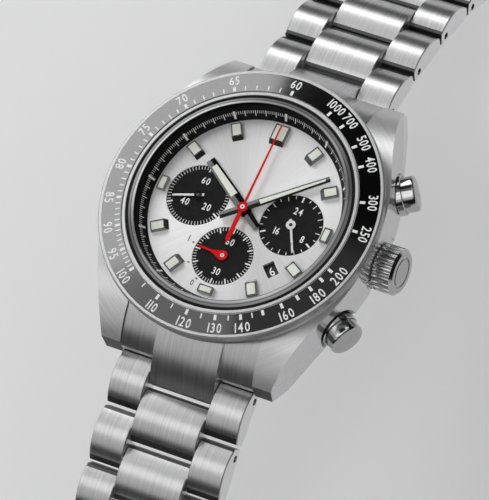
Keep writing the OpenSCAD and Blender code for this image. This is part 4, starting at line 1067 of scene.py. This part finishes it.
class WATCH_OT_stage(Operator):
    """Lays the floor, sets the soft boxes and places the camera"""

    bl_idname = "watch.stage"
    bl_label = "Stage"

    floor_half, floor_gap = 1500, 0.05  # half the floor's width, and its gap below the watch
    sky = (0.94, (0.014, 0.014, 0.0145, 1)), (0.955, (0.18, 0.18, 0.18, 1))  # by height
    front_boxes = (  # name, place and width across, span of angles, share of the power
        ("front_box_high", -0.74, 0.92, (-4.6, 5.7), 0.08),
        ("front_box_middle", -0.45, 1.5, (-28.8, -4.6), 0.56),
        ("front_box_low", -0.45, 1.5, (-61, -28.8), 0.36))
    camera_right = Vector((0.87566328, 0.41373654, -0.24907008))
    camera_down = Vector((0.28840808, -0.8617158, -0.41745258))
    camera_ahead = Vector((-0.38734301, 0.29371407, -0.87389784))
    camera_place = (0.3085, -0.2375, 0.69995)

    def execute(self, context):
        scene = context.scene
        stage = scene.watch_stage
        scene.view_settings.view_transform = "Standard"
        self.floor(stage)
        self.world(scene)
        self.lamps(stage)
        self.camera(scene, stage)
        return {"FINISHED"}

    def floor(self, stage):
        """Pale sheet just under the watch."""
        paper = Finish("floor", "Pale floor", tuple(stage.floor), metallic=0.0, roughness=0.8)
        drift = paper.group("speckle", Fine=900.0, Slow=6.0)["Drift"]
        paper.shade(drift, dark=0.98, light=1.02)
        z, h = CAD_BOX[0][2] / MM - self.floor_gap, self.floor_half
        sheet = Shape()
        sheet.add([(-h, -h, z), (h, -h, z), (h, h, z), (-h, h, z)], [[0, 1, 2, 3]])
        floor = link_object("floor", sheet.mesh("floor", paper.material))

    def world(self, scene):
        """Dark room with a dim ceiling straight above."""
        scene.world = scene.world or bpy.data.worlds.new("Studio")
        scene.world.use_nodes = True
        tree = scene.world.node_tree
        tree.nodes.clear()
        place = node(tree, "ShaderNodeTexCoord")
        parts = node(tree, "ShaderNodeSeparateXYZ", place.outputs["Generated"])
        ramp = node(tree, "ShaderNodeValToRGB", parts.outputs["Z"])
        for stop, (height, colour) in zip(ramp.color_ramp.elements, self.sky):
            stop.position, stop.color = height, colour
        back = node(tree, "ShaderNodeBackground", ramp.outputs[0])
        out = node(tree, "ShaderNodeOutputWorld")
        tree.links.new(back.outputs[0], out.inputs["Surface"])

    def lamps(self, stage):
        """Soft boxes on the left, above, behind and in front."""
        soft_box("left_box", place=(-0.822, 0.63, 0.56), target=(-0.022, 0.63, -0.03),
                 size=(1.08, 0.985), power=stage.left)
        soft_box("top_box", place=(0.65, -0.1, 1.0), target=(0.65, -0.1, 0),
                 size=(1.1, 1.6), power=stage.top)
        panel("back_box", x=-0.62, width=1.6, span=(41, 58), far=1.46, power=stage.back)
        for name, x, width, span, share in self.front_boxes:
            panel(name, x, width, span, far=0.95, power=stage.front * share)

    def camera(self, scene, stage):
        """Camera with the watch in view, from its right and in front of it."""
        data = bpy.data.cameras.new("photo_camera")
        data.lens = stage.lens
        data.sensor_width = 36
        data.clip_start, data.clip_end = 0.05, 20
        turn = Matrix((self.camera_right, -self.camera_down, -self.camera_ahead)).transposed()
        camera = link_object("photo_camera", data)
        camera.matrix_world = Matrix.Translation(self.camera_place) @ turn.to_4x4()
        scene.camera = camera


class WATCH_PT_panel(Panel):
    """Lists the watch's settings and the steps that finish it"""

    bl_idname = "WATCH_PT_panel"
    bl_label = "Chronograph Wristwatch"
    bl_space_type = "VIEW_3D"
    bl_region_type = "UI"
    bl_category = "Watch"

    def draw(self, context):
        scene = context.scene
        for group in (scene.watch_finishes, scene.watch_scales, scene.watch_stage):
            box = self.layout.box()
            for name in group.__annotations__:
                box.prop(group, name)
        for operator in OPERATORS:
            self.layout.operator(operator.bl_idname)


OPERATORS = (
    WATCH_OT_finishes, WATCH_OT_case, WATCH_OT_bezel, WATCH_OT_flange, WATCH_OT_dial,
    WATCH_OT_hands, WATCH_OT_date, WATCH_OT_crown, WATCH_OT_movement, WATCH_OT_bracelet,
    WATCH_OT_stage,
)
CLASSES = (WatchFinishes, WatchScales, WatchStage, *OPERATORS, WATCH_PT_panel)


def register():
    for cls in CLASSES:
        bpy.utils.register_class(cls)
    bpy.types.Scene.watch_finishes = PointerProperty(type=WatchFinishes)
    bpy.types.Scene.watch_scales = PointerProperty(type=WatchScales)
    bpy.types.Scene.watch_stage = PointerProperty(type=WatchStage)


def unregister():
    del bpy.types.Scene.watch_stage
    del bpy.types.Scene.watch_scales
    del bpy.types.Scene.watch_finishes
    for cls in reversed(CLASSES):
        bpy.utils.unregister_class(cls)


def main():
    register()
    bpy.ops.watch.finishes()
    bpy.ops.watch.case()
    bpy.ops.watch.bezel()
    bpy.ops.watch.flange()
    bpy.ops.watch.dial()
    bpy.ops.watch.hands()
    bpy.ops.watch.date()
    bpy.ops.watch.crown()
    bpy.ops.watch.movement()
    bpy.ops.watch.bracelet()
    bpy.ops.watch.stage()


if __name__ == "__main__":
    main()
